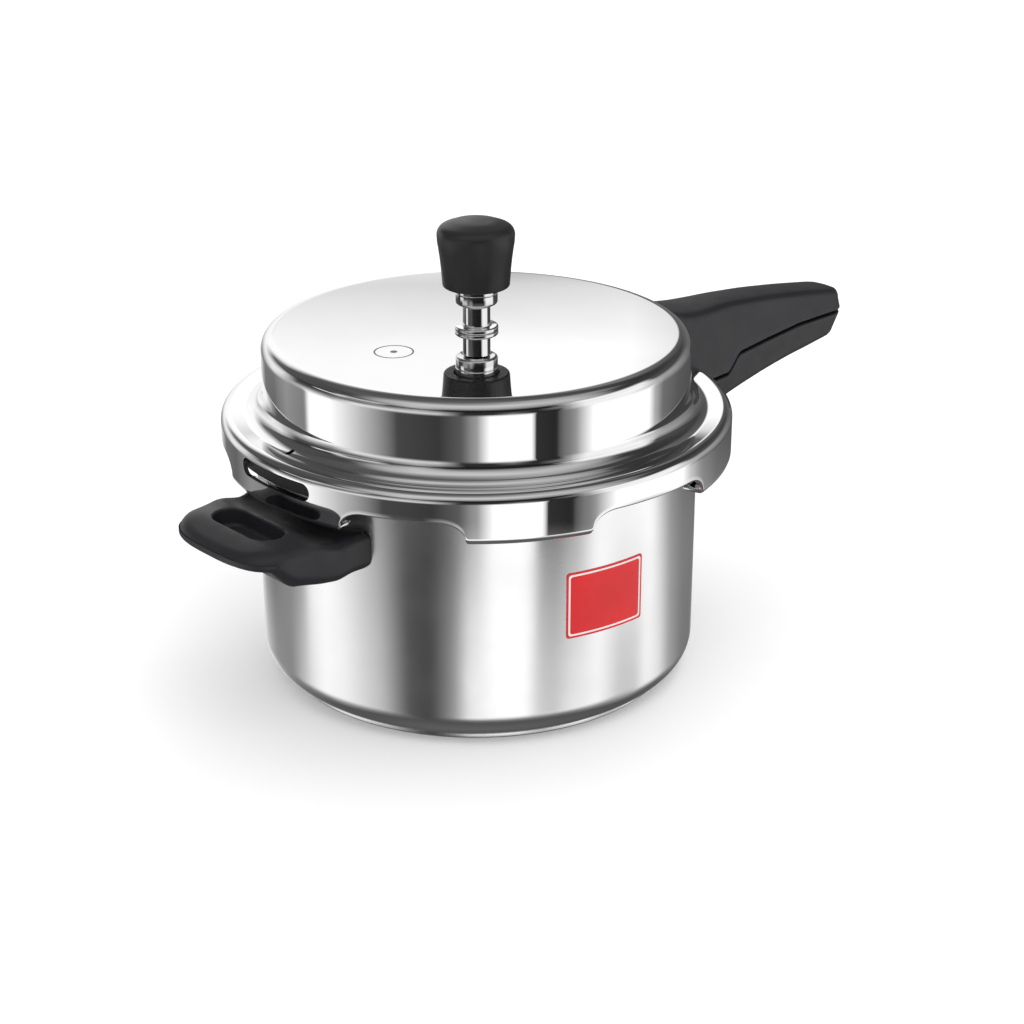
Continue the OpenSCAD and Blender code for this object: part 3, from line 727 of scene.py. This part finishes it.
def helper_top(x, y):
    """Height of the helper handle's top: a raised pad outside, a dip towards the pot."""
    pad_z, end_drop, dip_d, root_rise, side_drop = HELPER_Z + 18.6, 3.4, 4.9, 1.6, 2.0
    pad = pad_z - end_drop * smoothstep(HELPER_TIP - 14, HELPER_TIP + 2, x)
    dip = dip_d * (1 - smoothstep(POT_R + 6, POT_R + 22, x)) * (1 - 0.35 * smoothstep(14, 36, abs(y)))
    rise = root_rise * (1 - smoothstep(POT_R, POT_R + 7, x))
    return pad - dip + rise - side_drop * smoothstep(20, 40, abs(y)) * smoothstep(POT_R + 14, POT_R + 30, x)


def helper_bottom(x, y):
    """Height of its underside: a deep block at the pot, a thin wing outside."""
    wing_z, block_d, belly_d = HELPER_Z + 9.2, 8.8, 1.8
    side = smoothstep(26, 36, abs(y)) * smoothstep(POT_R + 4, POT_R + 28, x)
    block = (1 - smoothstep(POT_R + 26, POT_R + 38, x)) * (1 - 0.3 * side)
    belly = (smoothstep(14, 28, abs(y)) * smoothstep(POT_R, POT_R + 10, x)
             * (1 - smoothstep(POT_R + 14, POT_R + 30, x)))
    return wing_z - block_d * block - belly_d * belly


def quarter_round(r, step):
    """Pairs of (r * (1 - cos), r * (1 - sin)) over a quarter turn, in steps of so many degrees."""
    return [(r * (1 - cos(t)), r * (1 - sin(t))) for t in np.radians(range(0, 91, step))]


def make_helper():
    """The helper handle, as rings from the middle of its underside to the floor of its recess."""
    low_r, top_r, rim_r, floor_r = 4.4, 4.2, 0.9, 2.0     # roundings, from the underside up and in
    recess_depth, recess_taper = 7.8, 0.35
    count = 168
    directions = [2 * pi * k / count for k in range(count)]
    rings = []
    edges = {}

    def ring(radii, height, lift=0.0):
        """Adds the ring with these radii about the recess, lift above the surface height(x, y)."""
        plan = [(RECESS_X + r * cos(d), r * sin(d)) for d, r in zip(directions, radii)]
        rings.append([(-x, -y, height(x, y) + lift) for x, y in plan])

    def outline(inset):
        inset = round(inset, 3)
        if inset not in edges:
            edges[inset] = [helper_radius(d, inset) for d in directions]
        return edges[inset]

    def recess(grow):
        return [recess_radius(d, grow) for d in directions]

    for f in (0.05, 0.15, 0.3, 0.45, 0.6, 0.72, 0.82, 0.9, 0.96):
        ring([r * f for r in outline(low_r)], helper_bottom)
    for lift, inset in quarter_round(low_r, 15):
        ring(outline(inset), helper_bottom, lift)
    for f in (0.33, 0.66):
        ring(outline(0), lambda x, y: ((1 - f) * (helper_bottom(x, y) + low_r)
                                       + f * (helper_top(x, y) - top_r)))
    for inset, drop in quarter_round(top_r, 10):
        ring(outline(inset), helper_top, -drop)
    for f in (0.12, 0.25, 0.38, 0.5, 0.62, 0.74, 0.85, 0.94):
        ring([o + (i - o) * f for o, i in zip(outline(top_r), recess(rim_r))], helper_top)
    for drop, grow in quarter_round(rim_r, 15):
        ring(recess(grow), helper_top, -drop)
    ring(recess(-0.15), helper_top, -3.0)
    for inset, rise in quarter_round(floor_r, 15):
        ring(recess(-recess_taper - inset), helper_top, rise - recess_depth)
    for f in (0.7, 0.4, 0.1):
        ring([r * f for r in recess(-recess_taper - floor_r)], helper_top, -recess_depth)
    mesh("helper_moulding", *skin(rings, caps=(True, True)), PLASTIC, "pot", ["helper_handle"],
         "handle_plastic", sharp=60)


# ---------------------------------------------------------------- weight and vent tube

def make_knob():
    """The moulded knob: a slightly flared drum with a soft edge and a low dome."""
    low, high = box_mm("weight_knob")
    collar, stud = box_mm("weight_body")[1], box_mm("weight_stud")[1]
    r, z0, z1 = high.x, low.z, high.z
    edge_r, dome_h, foot_r, room = 4.6, 2.7, 0.866 * r, 0.02
    collar_r, stud_r = collar.x + room, stud.x + room
    side = [(r * f, z0 + z) for f, z in ((0.866, 1.0), (0.882, 4.5), (0.902, 8.5), (0.928, 12.5),
                                         (0.962, 16.5), (0.99, 19.5))]
    dome = [(r * f, z1 - dome_h * f ** 2.4) for f in (0.6, 0.45, 0.3, 0.15, 0.02)]
    profile = ([(collar_r, z0 + 1.2), (collar.x + 0.9, z0), (foot_r - 1.2, z0)]
               + arc(foot_r - 1.0, z0 + 1.0, 1.0, -80, -10, 4) + side
               + arc(r - edge_r, z1 - dome_h - edge_r + 0.9, edge_r, 2, 76, 10) + dome
               + [(0.0, z1), (0.0, stud.z), (stud_r, stud.z), (stud_r, collar.z), (collar_r, collar.z)])
    mesh("knob_moulding", *lathe(profile, 192), KNOB_PLASTIC, "weight", ["weight_knob"], "knob_plastic")


def make_weight():
    """The metal part of the weight, with a turned groove and soft edges."""
    low, high = box_mm("weight_body")
    needle = box_mm("weight_needle")[1]
    r, z0, z1, needle_r = high.x, low.z, high.z, needle.x + 0.05
    tip_r, tip_top, edge_r = 4.5, LID_Z + 25.3, 1.3
    profile = ([(tip_r, tip_top), (tip_r, z0 + 0.4), (tip_r + 0.4, z0)]
               + arc(r - edge_r, z0 + edge_r, edge_r, -90, 0, 6)
               + [(r, z0 + 4.6)] + arc(r + 0.1, z0 + 5.0, 0.35, 200, 160, 2)
               + [(r, z0 + 5.4), (r, z1 - 0.3), (r - 0.3, z1), (needle_r, z1), (needle_r, needle.z + 0.3),
                  (needle_r, tip_top)])
    mesh("weight_turning", *lathe(profile, 160), CHROME, "weight", ["weight_body"], "weight_chrome")


def threaded(r, z0, z1, pitch=1.0, depth=0.28):
    """Profile points of a thread, from z0 up to z1."""
    turns = int((z1 - z0) / pitch)
    points = []
    for i in range(turns):
        points += [(r, z0 + pitch * (i + 0.1)), (r, z0 + pitch * (i + 0.35)),
                   (r - depth, z0 + pitch * (i + 0.65)), (r - depth, z0 + pitch * (i + 0.85))]
    return points


def make_vent_tube():
    """The tube that the weight sits on: threaded stem, flange on the lid, column and tip."""
    low, high = box_mm("vent_tube")
    stem_r, flange_r, flange_t, column_r, tip_r, bore_r = 4.5, high.x, 2.1, 5.95, 4.2, 1.4
    column_top = LID_Z + 11.2
    profile = ([(bore_r, low.z), (stem_r - 0.6, low.z)]
               + threaded(stem_r - 0.02, low.z + 0.6, LID_Z - LID_T - 0.6)
               + [(stem_r - 0.02, LID_Z - LID_T), (stem_r - 0.02, LID_Z), (flange_r - 0.5, LID_Z)]
               + arc(flange_r - 0.6, LID_Z + 0.6, 0.6, -60, 0, 3)
               + arc(flange_r - 0.8, LID_Z + flange_t - 0.8, 0.8, 0, 90, 5)
               + arc(column_r + 0.7, LID_Z + flange_t + 0.7, 0.7, 270, 180, 4)
               + [(column_r, LID_Z + flange_t + 0.9), (column_r, column_top - 0.6),
                  (column_r - 0.6, column_top), (tip_r + 0.3, column_top), (tip_r, column_top + 0.3),
                  (tip_r, high.z - 3.5)]
               + arc(tip_r - 1.8, high.z - 1.8, 1.8, 20, 80, 5)
               + [(bore_r + 0.4, high.z), (bore_r, high.z - 0.4)])
    mesh("vent_tube_turning", *lathe(profile, 128), CHROME, "lid", ["vent_tube"], "tube_chrome", sharp=30)


def nut(r, bore, z0, z1, centre, turn=0.0):
    """A hexagon nut with the round chamfer of its corners, and a threaded bore."""
    flat = r * cos(radians(30))
    count = 96
    rings = []
    for level, cone in ((z0, 0.93), (z0 + 0.35, 0.965), (z0 + 0.9, 1.02), (z1 - 0.9, 1.02),
                        (z1 - 0.35, 0.965), (z1, 0.93)):
        ring = []
        for i in range(count):
            a = 2 * pi * i / count
            across = radians((degrees(a) + 30) % 60 - 30)
            reach = min(flat / cos(across), r * cone)
            ring.append((centre[0] + reach * cos(a + turn), centre[1] + reach * sin(a + turn), level))
        rings.append(ring)
    thread = threaded(bore + 0.28, z0 + 0.4, z1 - 0.4)[::-1]
    rings += [circle(reach, level, count, centre, turn)
              for reach, level in [(bore + 0.5, z1)] + thread + [(bore + 0.5, z0)]]
    rings.append(rings[0])
    return skin(rings)


def make_washer(name, node, bore, centre):
    """A punched washer: rolled upper edge and a sharper lower one."""
    r, z0, z1, _ = round_mm(node)
    profile = ([(bore, z0 + 0.2), (bore + 0.2, z0), (r - 0.3, z0), (r, z0 + 0.3)]
               + arc(r - 0.5, z1 - 0.5, 0.5, 0, 90, 4) + [(bore + 0.3, z1), (bore, z1 - 0.3)])
    mesh(name, *lathe(profile, 96, centre=centre), ZINC, "lid", [node], "nut_steel", sharp=45)


def make_nut(name, node, r, bore, centre, turn=0.0):
    """A nut under the lid, turned by an angle in radians."""
    _, z0, z1, _ = round_mm(node)
    mesh(name, *nut(r, bore, z0, z1, centre, turn), ZINC, "lid", [node], "nut_steel", sharp=25)


def make_tube_fixings():
    """Washer and nut under the lid that hold the vent tube."""
    r, _, _, centre = round_mm("vent_tube_nut")
    make_washer("vent_washer", "vent_tube_washer", 4.55, centre)
    make_nut("vent_nut", "vent_tube_nut", r, 4.5, centre)


def make_safety_plug():
    """The safety plug: threaded stem, collar, hexagon and fusible core, with its washer and nut."""
    core_r, core_z, core_top, centre = round_mm("safety_plug_core")
    collar_r, z0, z1, _ = round_mm("safety_plug")
    stem_r, collar_t, hex_r, nut_r = 5.8, 1.6, 8.2, 10.0
    collar_top = LID_Z + collar_t
    turn = atan2(centre[1], centre[0])
    stem = ([(core_r, z0), (stem_r - 0.6, z0)]
            + threaded(stem_r - 0.02, z0 + 0.6, LID_Z - LID_T - 0.6)
            + [(stem_r - 0.02, LID_Z), (collar_r - 0.4, LID_Z)]
            + arc(collar_r - 0.5, LID_Z + 0.5, 0.5, -60, 0, 3)
            + arc(collar_r - 0.5, collar_top - 0.5, 0.5, 0, 90, 4)
            + [(core_r, collar_top)])
    hexagon = nut(hex_r, core_r - 0.5, collar_top, z1, centre, turn)
    points, faces = join(lathe(stem, 128, centre=centre), hexagon)
    mesh("plug_turning", points, faces, PLUG_BRASS, "lid", ["safety_plug"], "plug_metal", sharp=25)
    core = [(0, core_z), (core_r, core_z), (core_r, core_top - 0.5), (core_r - 0.25, core_top - 0.2),
            (core_r - 0.8, core_top - 0.05), (0, core_top)]
    mesh("plug_core_casting", *lathe(core, 64, centre=centre), ALLOY, "lid", ["safety_plug_core"],
         "core_alloy")
    make_washer("plug_washer", "safety_plug_washer", stem_r + 0.05, centre)
    make_nut("plug_nut", "safety_plug_nut", nut_r, stem_r, centre, turn)


# ---------------------------------------------------------------- fixings

def along(direction, z):
    """Matrix from an upright part to one that lies along a horizontal direction at a height."""
    return (Matrix.Translation((0, 0, z)) @ Matrix.Rotation(radians(direction), 4, "Z")
            @ Matrix.Rotation(radians(90), 4, "Y"))


def make_rivets(name, body, node, wall_r, wall_t, side):
    """Two rivets with domed heads, through a wall and the plate of a bracket."""
    low, high = box_mm(node)
    z = (low.z + high.z) / 2
    plate_t, shank_r, head_r, head_t, apart = 1.6, 2.0, 3.6, 1.3, 5.6
    inner, outer = wall_r - wall_t - 0.1, wall_r + plate_t
    dome = [(head_r * cos(radians(a)), head_t * sin(radians(a))) for a in range(0, 91, 15)]
    profile = ([(0, inner - head_t)] + [(r, inner - h) for r, h in reversed(dome)][1:]
               + [(shank_r, inner), (shank_r, outer)] + [(r, outer + h) for r, h in dome])
    rivets = [moved(lathe(profile, 48), along(side + s * apart, z)) for s in (-1, 1)]
    points, faces = join(*rivets)
    mesh(name, points, faces, BRIGHT, body, [node], "rivet_steel", sharp=50)


def make_screw(name, body, node):
    """A slotted pan-head screw, head down, with its thread."""
    low, high = box_mm(node)
    x = (low.x + high.x) / 2
    head_r, head_t, shank_r, slot_half, slot_d = (high.x - low.x) / 2, 2.6, 2.2, 0.5, 1.0
    count = 96
    levels = ((0.02, 0), (head_r * 0.35, 0), (head_r - 0.7, 0), (head_r - 0.2, 0.25), (head_r, 0.7),
              (head_r, head_t), (shank_r, head_t))
    rings = [circle(r, low.z + z, count, (x, 0.0)) for r, z in levels]
    for ring in rings[:4]:
        depths = [slot_d * (1 - smoothstep(slot_half, slot_half + 0.12, abs(y))) for _, y, _ in ring]
        ring[:] = [(px, py, pz + depth) for (px, py, pz), depth in zip(ring, depths)]
    thread = threaded(shank_r, low.z + head_t + 0.3, high.z - 0.6, 0.8, 0.25)
    rings += [circle(r, z, count, (x, 0.0))
              for r, z in thread + [(shank_r - 0.4, high.z - 0.1), (0.02, high.z)]]
    mesh(name, *skin(rings, caps=(True, True)), ZINC, body, [node], "screw_steel", sharp=35)


def keep(node, material, edge):
    """A CAD node that stays, with a finish and its edges rounded."""
    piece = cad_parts[node]
    piece.data.materials.clear()
    piece.data.materials.append(material)
    rounding = piece.modifiers.new("edge", "BEVEL")
    rounding.width = edge * MM
    rounding.segments = 2
    rounding.limit_method = "ANGLE"
    rounding.angle_limit = radians(35)


# ---------------------------------------------------------------- studio

def make_floor():
    """A pale floor that the camera sees but the mirror steel doesn't."""
    half, glow = 6.0, 0.12
    data = bpy.data.meshes.new("floor")
    corners = [(-half, -half, 0), (half, -half, 0), (half, half, 0), (-half, half, 0)]
    data.from_pydata(corners, [], [(0, 1, 2, 3)])
    floor = bpy.data.objects.new("floor", data)
    bpy.context.scene.collection.objects.link(floor)
    floor.visible_glossy = False
    material, tree, shader = new_material("floor_white")
    tree.links.new(tinted(tree, noise(tree, 3.0), (0.91, 0.91, 0.91), (0.93, 0.93, 0.93)),
                   shader.inputs["Base Color"])
    shader.inputs["Roughness"].default_value = 0.9
    shader.inputs["Specular IOR Level"].default_value = 0.0
    shader.inputs["Emission Color"].default_value = (1, 1, 1, 1)
    shader.inputs["Emission Strength"].default_value = glow
    data.materials.append(material)


def make_camera():
    """The picture's camera."""
    azimuth, yaw, pitch = (radians(a) for a in (CAMERA_AZIMUTH, CAMERA_YAW, CAMERA_PITCH))
    turn = Matrix.Rotation(azimuth, 4, "Z")
    forward = turn @ Vector((sin(yaw) * cos(pitch), cos(yaw) * cos(pitch), -sin(pitch)))
    camera = bpy.data.objects.new("camera", bpy.data.cameras.new("camera"))
    camera.location = turn @ Vector((0, -CAMERA_DISTANCE, CAMERA_HEIGHT))
    camera.rotation_euler = forward.to_track_quat("-Z", "Y").to_euler()
    camera.data.lens = CAMERA_LENS
    camera.data.clip_start = 0.01
    bpy.context.scene.collection.objects.link(camera)
    bpy.context.scene.camera = camera
    bpy.context.scene.view_settings.view_transform = "Standard"


def make_light(name, location, power):
    """A soft area light over the object that the mirror steel doesn't show."""
    target, size = Vector((0, 0, 0.1)), 1.2
    data = bpy.data.lights.new(name, "AREA")
    data.shape = "DISK"
    data.size = size
    data.energy = power
    light = bpy.data.objects.new(name, data)
    light.location = location
    light.rotation_euler = (target - Vector(location)).to_track_quat("-Z", "Y").to_euler()
    light.visible_glossy = False
    bpy.context.scene.collection.objects.link(light)


# The studio's white panels and black flags, as polished steel shows them. Each row is an elevation in
# degrees with (azimuth, brightness) pairs, where azimuth 0 is the camera's side and + is to its right.
# Two stretches are shared: the one that the walls show, and the one that the vent tube shows.
# The brightnesses go back to measurements of the steel in the photo, as report.md tells under Open faults.
WALL_PANELS = [(-180, 0.8), (-165, 0.65), (-152, 0.16), (-136, 0.12), (-120, 0.26), (-103, 0.2), (-99, 1.05),
               (-84, 1.05), (-63, 0.5), (-42, 0.06), (-20, 0.04), (-8, 0.1), (0, 0.33), (7, 1.05), (29, 1.05),
               (30.5, 0.03), (42, 0.02), (44, 0.1), (53, 0.28), (64, 1.05), (103, 1.05)]
TUBE_PANELS = [(-108, 0.03), (-97, 0.03), (-91, 0.8), (-77, 0.8), (-70, 0.07), (-40, 0.08), (-26, 0.02),
               (38, 0.01), (46, 0.5), (54, 0.95), (98, 0.9), (106, 0.06), (153, 0.05), (172, 0.1)]
STUDIO = {
    -90: [(-180, 0.12), (180, 0.12)],
    -52: [(-180, 0.08), (180, 0.08)],
    -40: [(-180, 0.2), (-150, 0.15), (-105, 0.2), (-90, 0.35), (-60, 0.25), (-30, 0.05), (0, 0.2), (20, 0.25),
          (50, 0.2), (70, 0.3), (100, 0.3), (125, 0.1), (160, 0.1), (180, 0.2)],
    -30: [(-180, 0.9), (-165, 0.85), (-138, 0.3), (-118, 0.22), (-104, 0.6), (-90, 1.0), (-75, 0.95),
          (-53, 0.6), (-38, 0.08), (-24, 0.05), (-12, 0.35), (-5, 1.1), (25, 1.15), (30, 0.75), (40, 0.7),
          (50, 0.95), (66, 1.0), (80, 0.5), (92, 0.5), (100, 0.9), (112, 0.8), (122, 0.35), (140, 0.18),
          (160, 0.16), (170, 0.6), (180, 0.9)],
    -23: WALL_PANELS + [(110, 0.7), (120, 0.34), (135, 0.22), (165, 0.18), (180, 0.5)],
    -20: WALL_PANELS + [(108, 0.45), (116, 0.15), (135, 0.09), (165, 0.07), (180, 0.5)],
    -9: [(-180, 0.6), (-168, 0.7), (-153, 0.22), (-130, 0.8), (-112, 0.4), (-95, 0.55), (-80, 0.35),
         (-65, 0.78), (-20, 0.6), (-8, 0.03), (8, 0.03), (18, 0.2), (28, 0.02), (42, 0.02), (58, 0.9),
         (85, 0.85), (113, 0.3), (150, 0.13), (174, 0.15), (180, 0.6)],
    6: [(-180, 0.62), (-172, 0.9), (-158, 0.9), (-120, 0.78), (-106, 0.08), (-62, 0.1), (-31, 0.43),
        (-18, 0.28), (-6, 0.02), (31, 0.03), (45, 0.25), (56, 0.85), (92, 0.95), (106, 0.4), (125, 0.3),
        (150, 0.12), (174, 0.15), (180, 0.6)],
    15.8: [(-180, 0.9), (-157, 0.95), (-144, 0.3), (-135, 0.3), (-120, 0.45), (-108, 0.05), (-84, 0.03),
           (-76, 0.3), (-54, 0.3), (-46, 0.06), (-28, 0.25), (-16, 0.01), (42, 0.01), (50, 0.4), (58, 0.8),
           (98, 0.8), (108, 0.15), (153, 0.07), (180, 0.12)],
    16.8: [(-180, 0.65), (-173, 0.75), (-166, 1.0), (-157, 0.95), (-144, 0.3), (-135, 0.3), (-120, 0.4),
           *TUBE_PANELS, (175, 0.75), (180, 0.65)],
    18.4: [(-180, 0.95), (-157, 0.95), (-144, 0.12), *TUBE_PANELS, (175, 1.0), (180, 1.0)],
    21: [(-180, 1.05), (-157, 0.95), (-144, 0.12), (-108, 0.05), (-84, 0.03), (-76, 0.6), (-54, 0.6),
         (-46, 0.04), (-28, 0.25), (-16, 0.01), (42, 0.01), (50, 0.4), (58, 0.95), (98, 0.9), (108, 0.08),
         (153, 0.05), (172, 0.1), (176, 1.05), (180, 1.05)],
    31: [(-180, 0.95), (-158, 0.9), (-146, 0.5), (-138, 0.08), (-67, 0.06), (-35, 0.5), (-12, 0.25),
         (37, 0.25), (56, 0.4), (72, 0.3), (84, 0.04), (148, 0.04), (170, 0.15), (176, 0.7), (180, 0.85)],
    42: [(-180, 0.06), (-163, 0.25), (-145, 0.08), (-80, 0.05), (-62, 0.38), (-36, 0.52), (35, 0.4),
         (62, 0.5), (78, 0.3), (92, 0.04), (140, 0.03), (163, 0.22), (180, 0.06)],
    56: [(-180, 0.06), (-90, 0.1), (-64, 0.4), (-40, 0.55), (20, 0.58), (60, 0.45), (105, 0.25), (118, 0.05),
         (180, 0.06)],
    72: [(-180, 0.08), (-95, 0.09), (-50, 0.2), (0, 0.3), (60, 0.36), (85, 0.35), (110, 0.1), (180, 0.08)],
    90: [(-180, 0.12), (180, 0.12)],
}
STUDIO[-26.5] = STUDIO[-30]

BANDS_STRENGTH = 1.08
SOFT_HORIZON = 0.55                # the soft light on everything else, level and from above
SOFT_ZENITH = 1.32


def band(tree, azimuth, stops):
    """Brightness round one elevation: a ramp over the azimuth, with a stop for each pair."""
    ramp = add(tree, "ShaderNodeValToRGB", in_Fac=azimuth)
    place = ramp.color_ramp.elements
    place.remove(place[-1])
    for i, (angle, value) in enumerate(stops):
        spot = (angle + 180) / 360
        element = place[0] if i == 0 else place.new(spot)
        element.position = spot
        element.color = (value, value, value, 1)
    return ramp.outputs["Color"]


def studio_bands(tree, split):
    """The colour of STUDIO in the direction whose parts split gives, with azimuth 0 at the camera."""
    azimuth = add(tree, "ShaderNodeMath", operation="ARCTAN2")
    tree.links.new(split.outputs["Y"], azimuth.inputs[0])
    tree.links.new(split.outputs["X"], azimuth.inputs[1])
    share = ranged(tree, azimuth.outputs[0], 0.0, 1.0, -pi, pi)
    rise = add(tree, "ShaderNodeMath", operation="ARCSINE", in_Value=split.outputs["Z"])
    levels = sorted(STUDIO)
    colour = band(tree, share, STUDIO[levels[0]])
    for low, high in zip(levels, levels[1:]):
        factor = ranged(tree, rise.outputs[0], 0.0, 1.0, radians(low), radians(high))
        mix = add(tree, "ShaderNodeMix", data_type="RGBA", in_Factor=factor)
        tree.links.new(colour, mix.inputs[6])
        tree.links.new(band(tree, share, STUDIO[high]), mix.inputs[7])
        colour = mix.outputs[2]
    return colour


def background(tree, colour, strength):
    """The shader of a background of the world."""
    return add(tree, "ShaderNodeBackground", in_Color=colour, in_Strength=strength).outputs[0]


def either(tree, test, no, yes):
    """One of two shaders, by a test of the light path."""
    mix = add(tree, "ShaderNodeMixShader", in_Fac=test)
    tree.links.new(no, mix.inputs[1])
    tree.links.new(yes, mix.inputs[2])
    return mix.outputs[0]


def make_world():
    """White to the eye, soft white light, and the studio's bands in reflections."""
    world = bpy.data.worlds.new("studio")
    bpy.context.scene.world = world
    world.use_nodes = True
    tree = world.node_tree
    tree.nodes.clear()
    white = (1, 1, 1, 1)
    place = add(tree, "ShaderNodeTexCoord").outputs["Generated"]
    turn = add(tree, "ShaderNodeMapping", vector_type="VECTOR", in_Vector=place,
               in_Rotation=(0, 0, radians(90 - CAMERA_AZIMUTH)))
    split = add(tree, "ShaderNodeSeparateXYZ", in_Vector=turn.outputs["Vector"])
    bands = background(tree, studio_bands(tree, split), BANDS_STRENGTH)
    soft_strength = ranged(tree, split.outputs["Z"], SOFT_HORIZON, SOFT_ZENITH, 0.0, 1.0)
    soft = background(tree, white, soft_strength)
    path = add(tree, "ShaderNodeLightPath")
    lit = either(tree, path.outputs["Is Glossy Ray"], soft, bands)
    seen = either(tree, path.outputs["Is Camera Ray"], lit, background(tree, white, 1.0))
    add(tree, "ShaderNodeOutputWorld", in_Surface=seen)


# ---------------------------------------------------------------- assembly

make_camera()
make_world()
make_floor()
make_light("key", (-0.3, -1.2, 1.9), 6.0)
make_light("fill", (1.1, 0.6, 1.6), 3.0)
make_pot()
make_label()
make_lid()
make_mark()
make_gasket()
make_long_handle()
make_helper()
make_knob()
make_weight()
make_vent_tube()
make_tube_fixings()
make_safety_plug()
MOUNTS = (("pot_handle", "pot", POT_R, POT_T, 0), ("helper", "pot", POT_R, POT_T, 180),
          ("lid_handle", "lid", DRUM_R, LID_T, 0))
for mount, body, wall_r, wall_t, side in MOUNTS:
    make_rivets(mount + "_rivet_pair", body, mount + "_rivets", wall_r, wall_t, side)
for mount, body, *_ in MOUNTS:
    make_screw(mount + "_slotted_screw", body, mount + "_screw")
for mount, *_ in MOUNTS:
    keep(mount + "_bracket", PRESSED, 0.4)
keep("weight_needle", CHROME, 0.15)
keep("weight_stud", ZINC, 0.2)
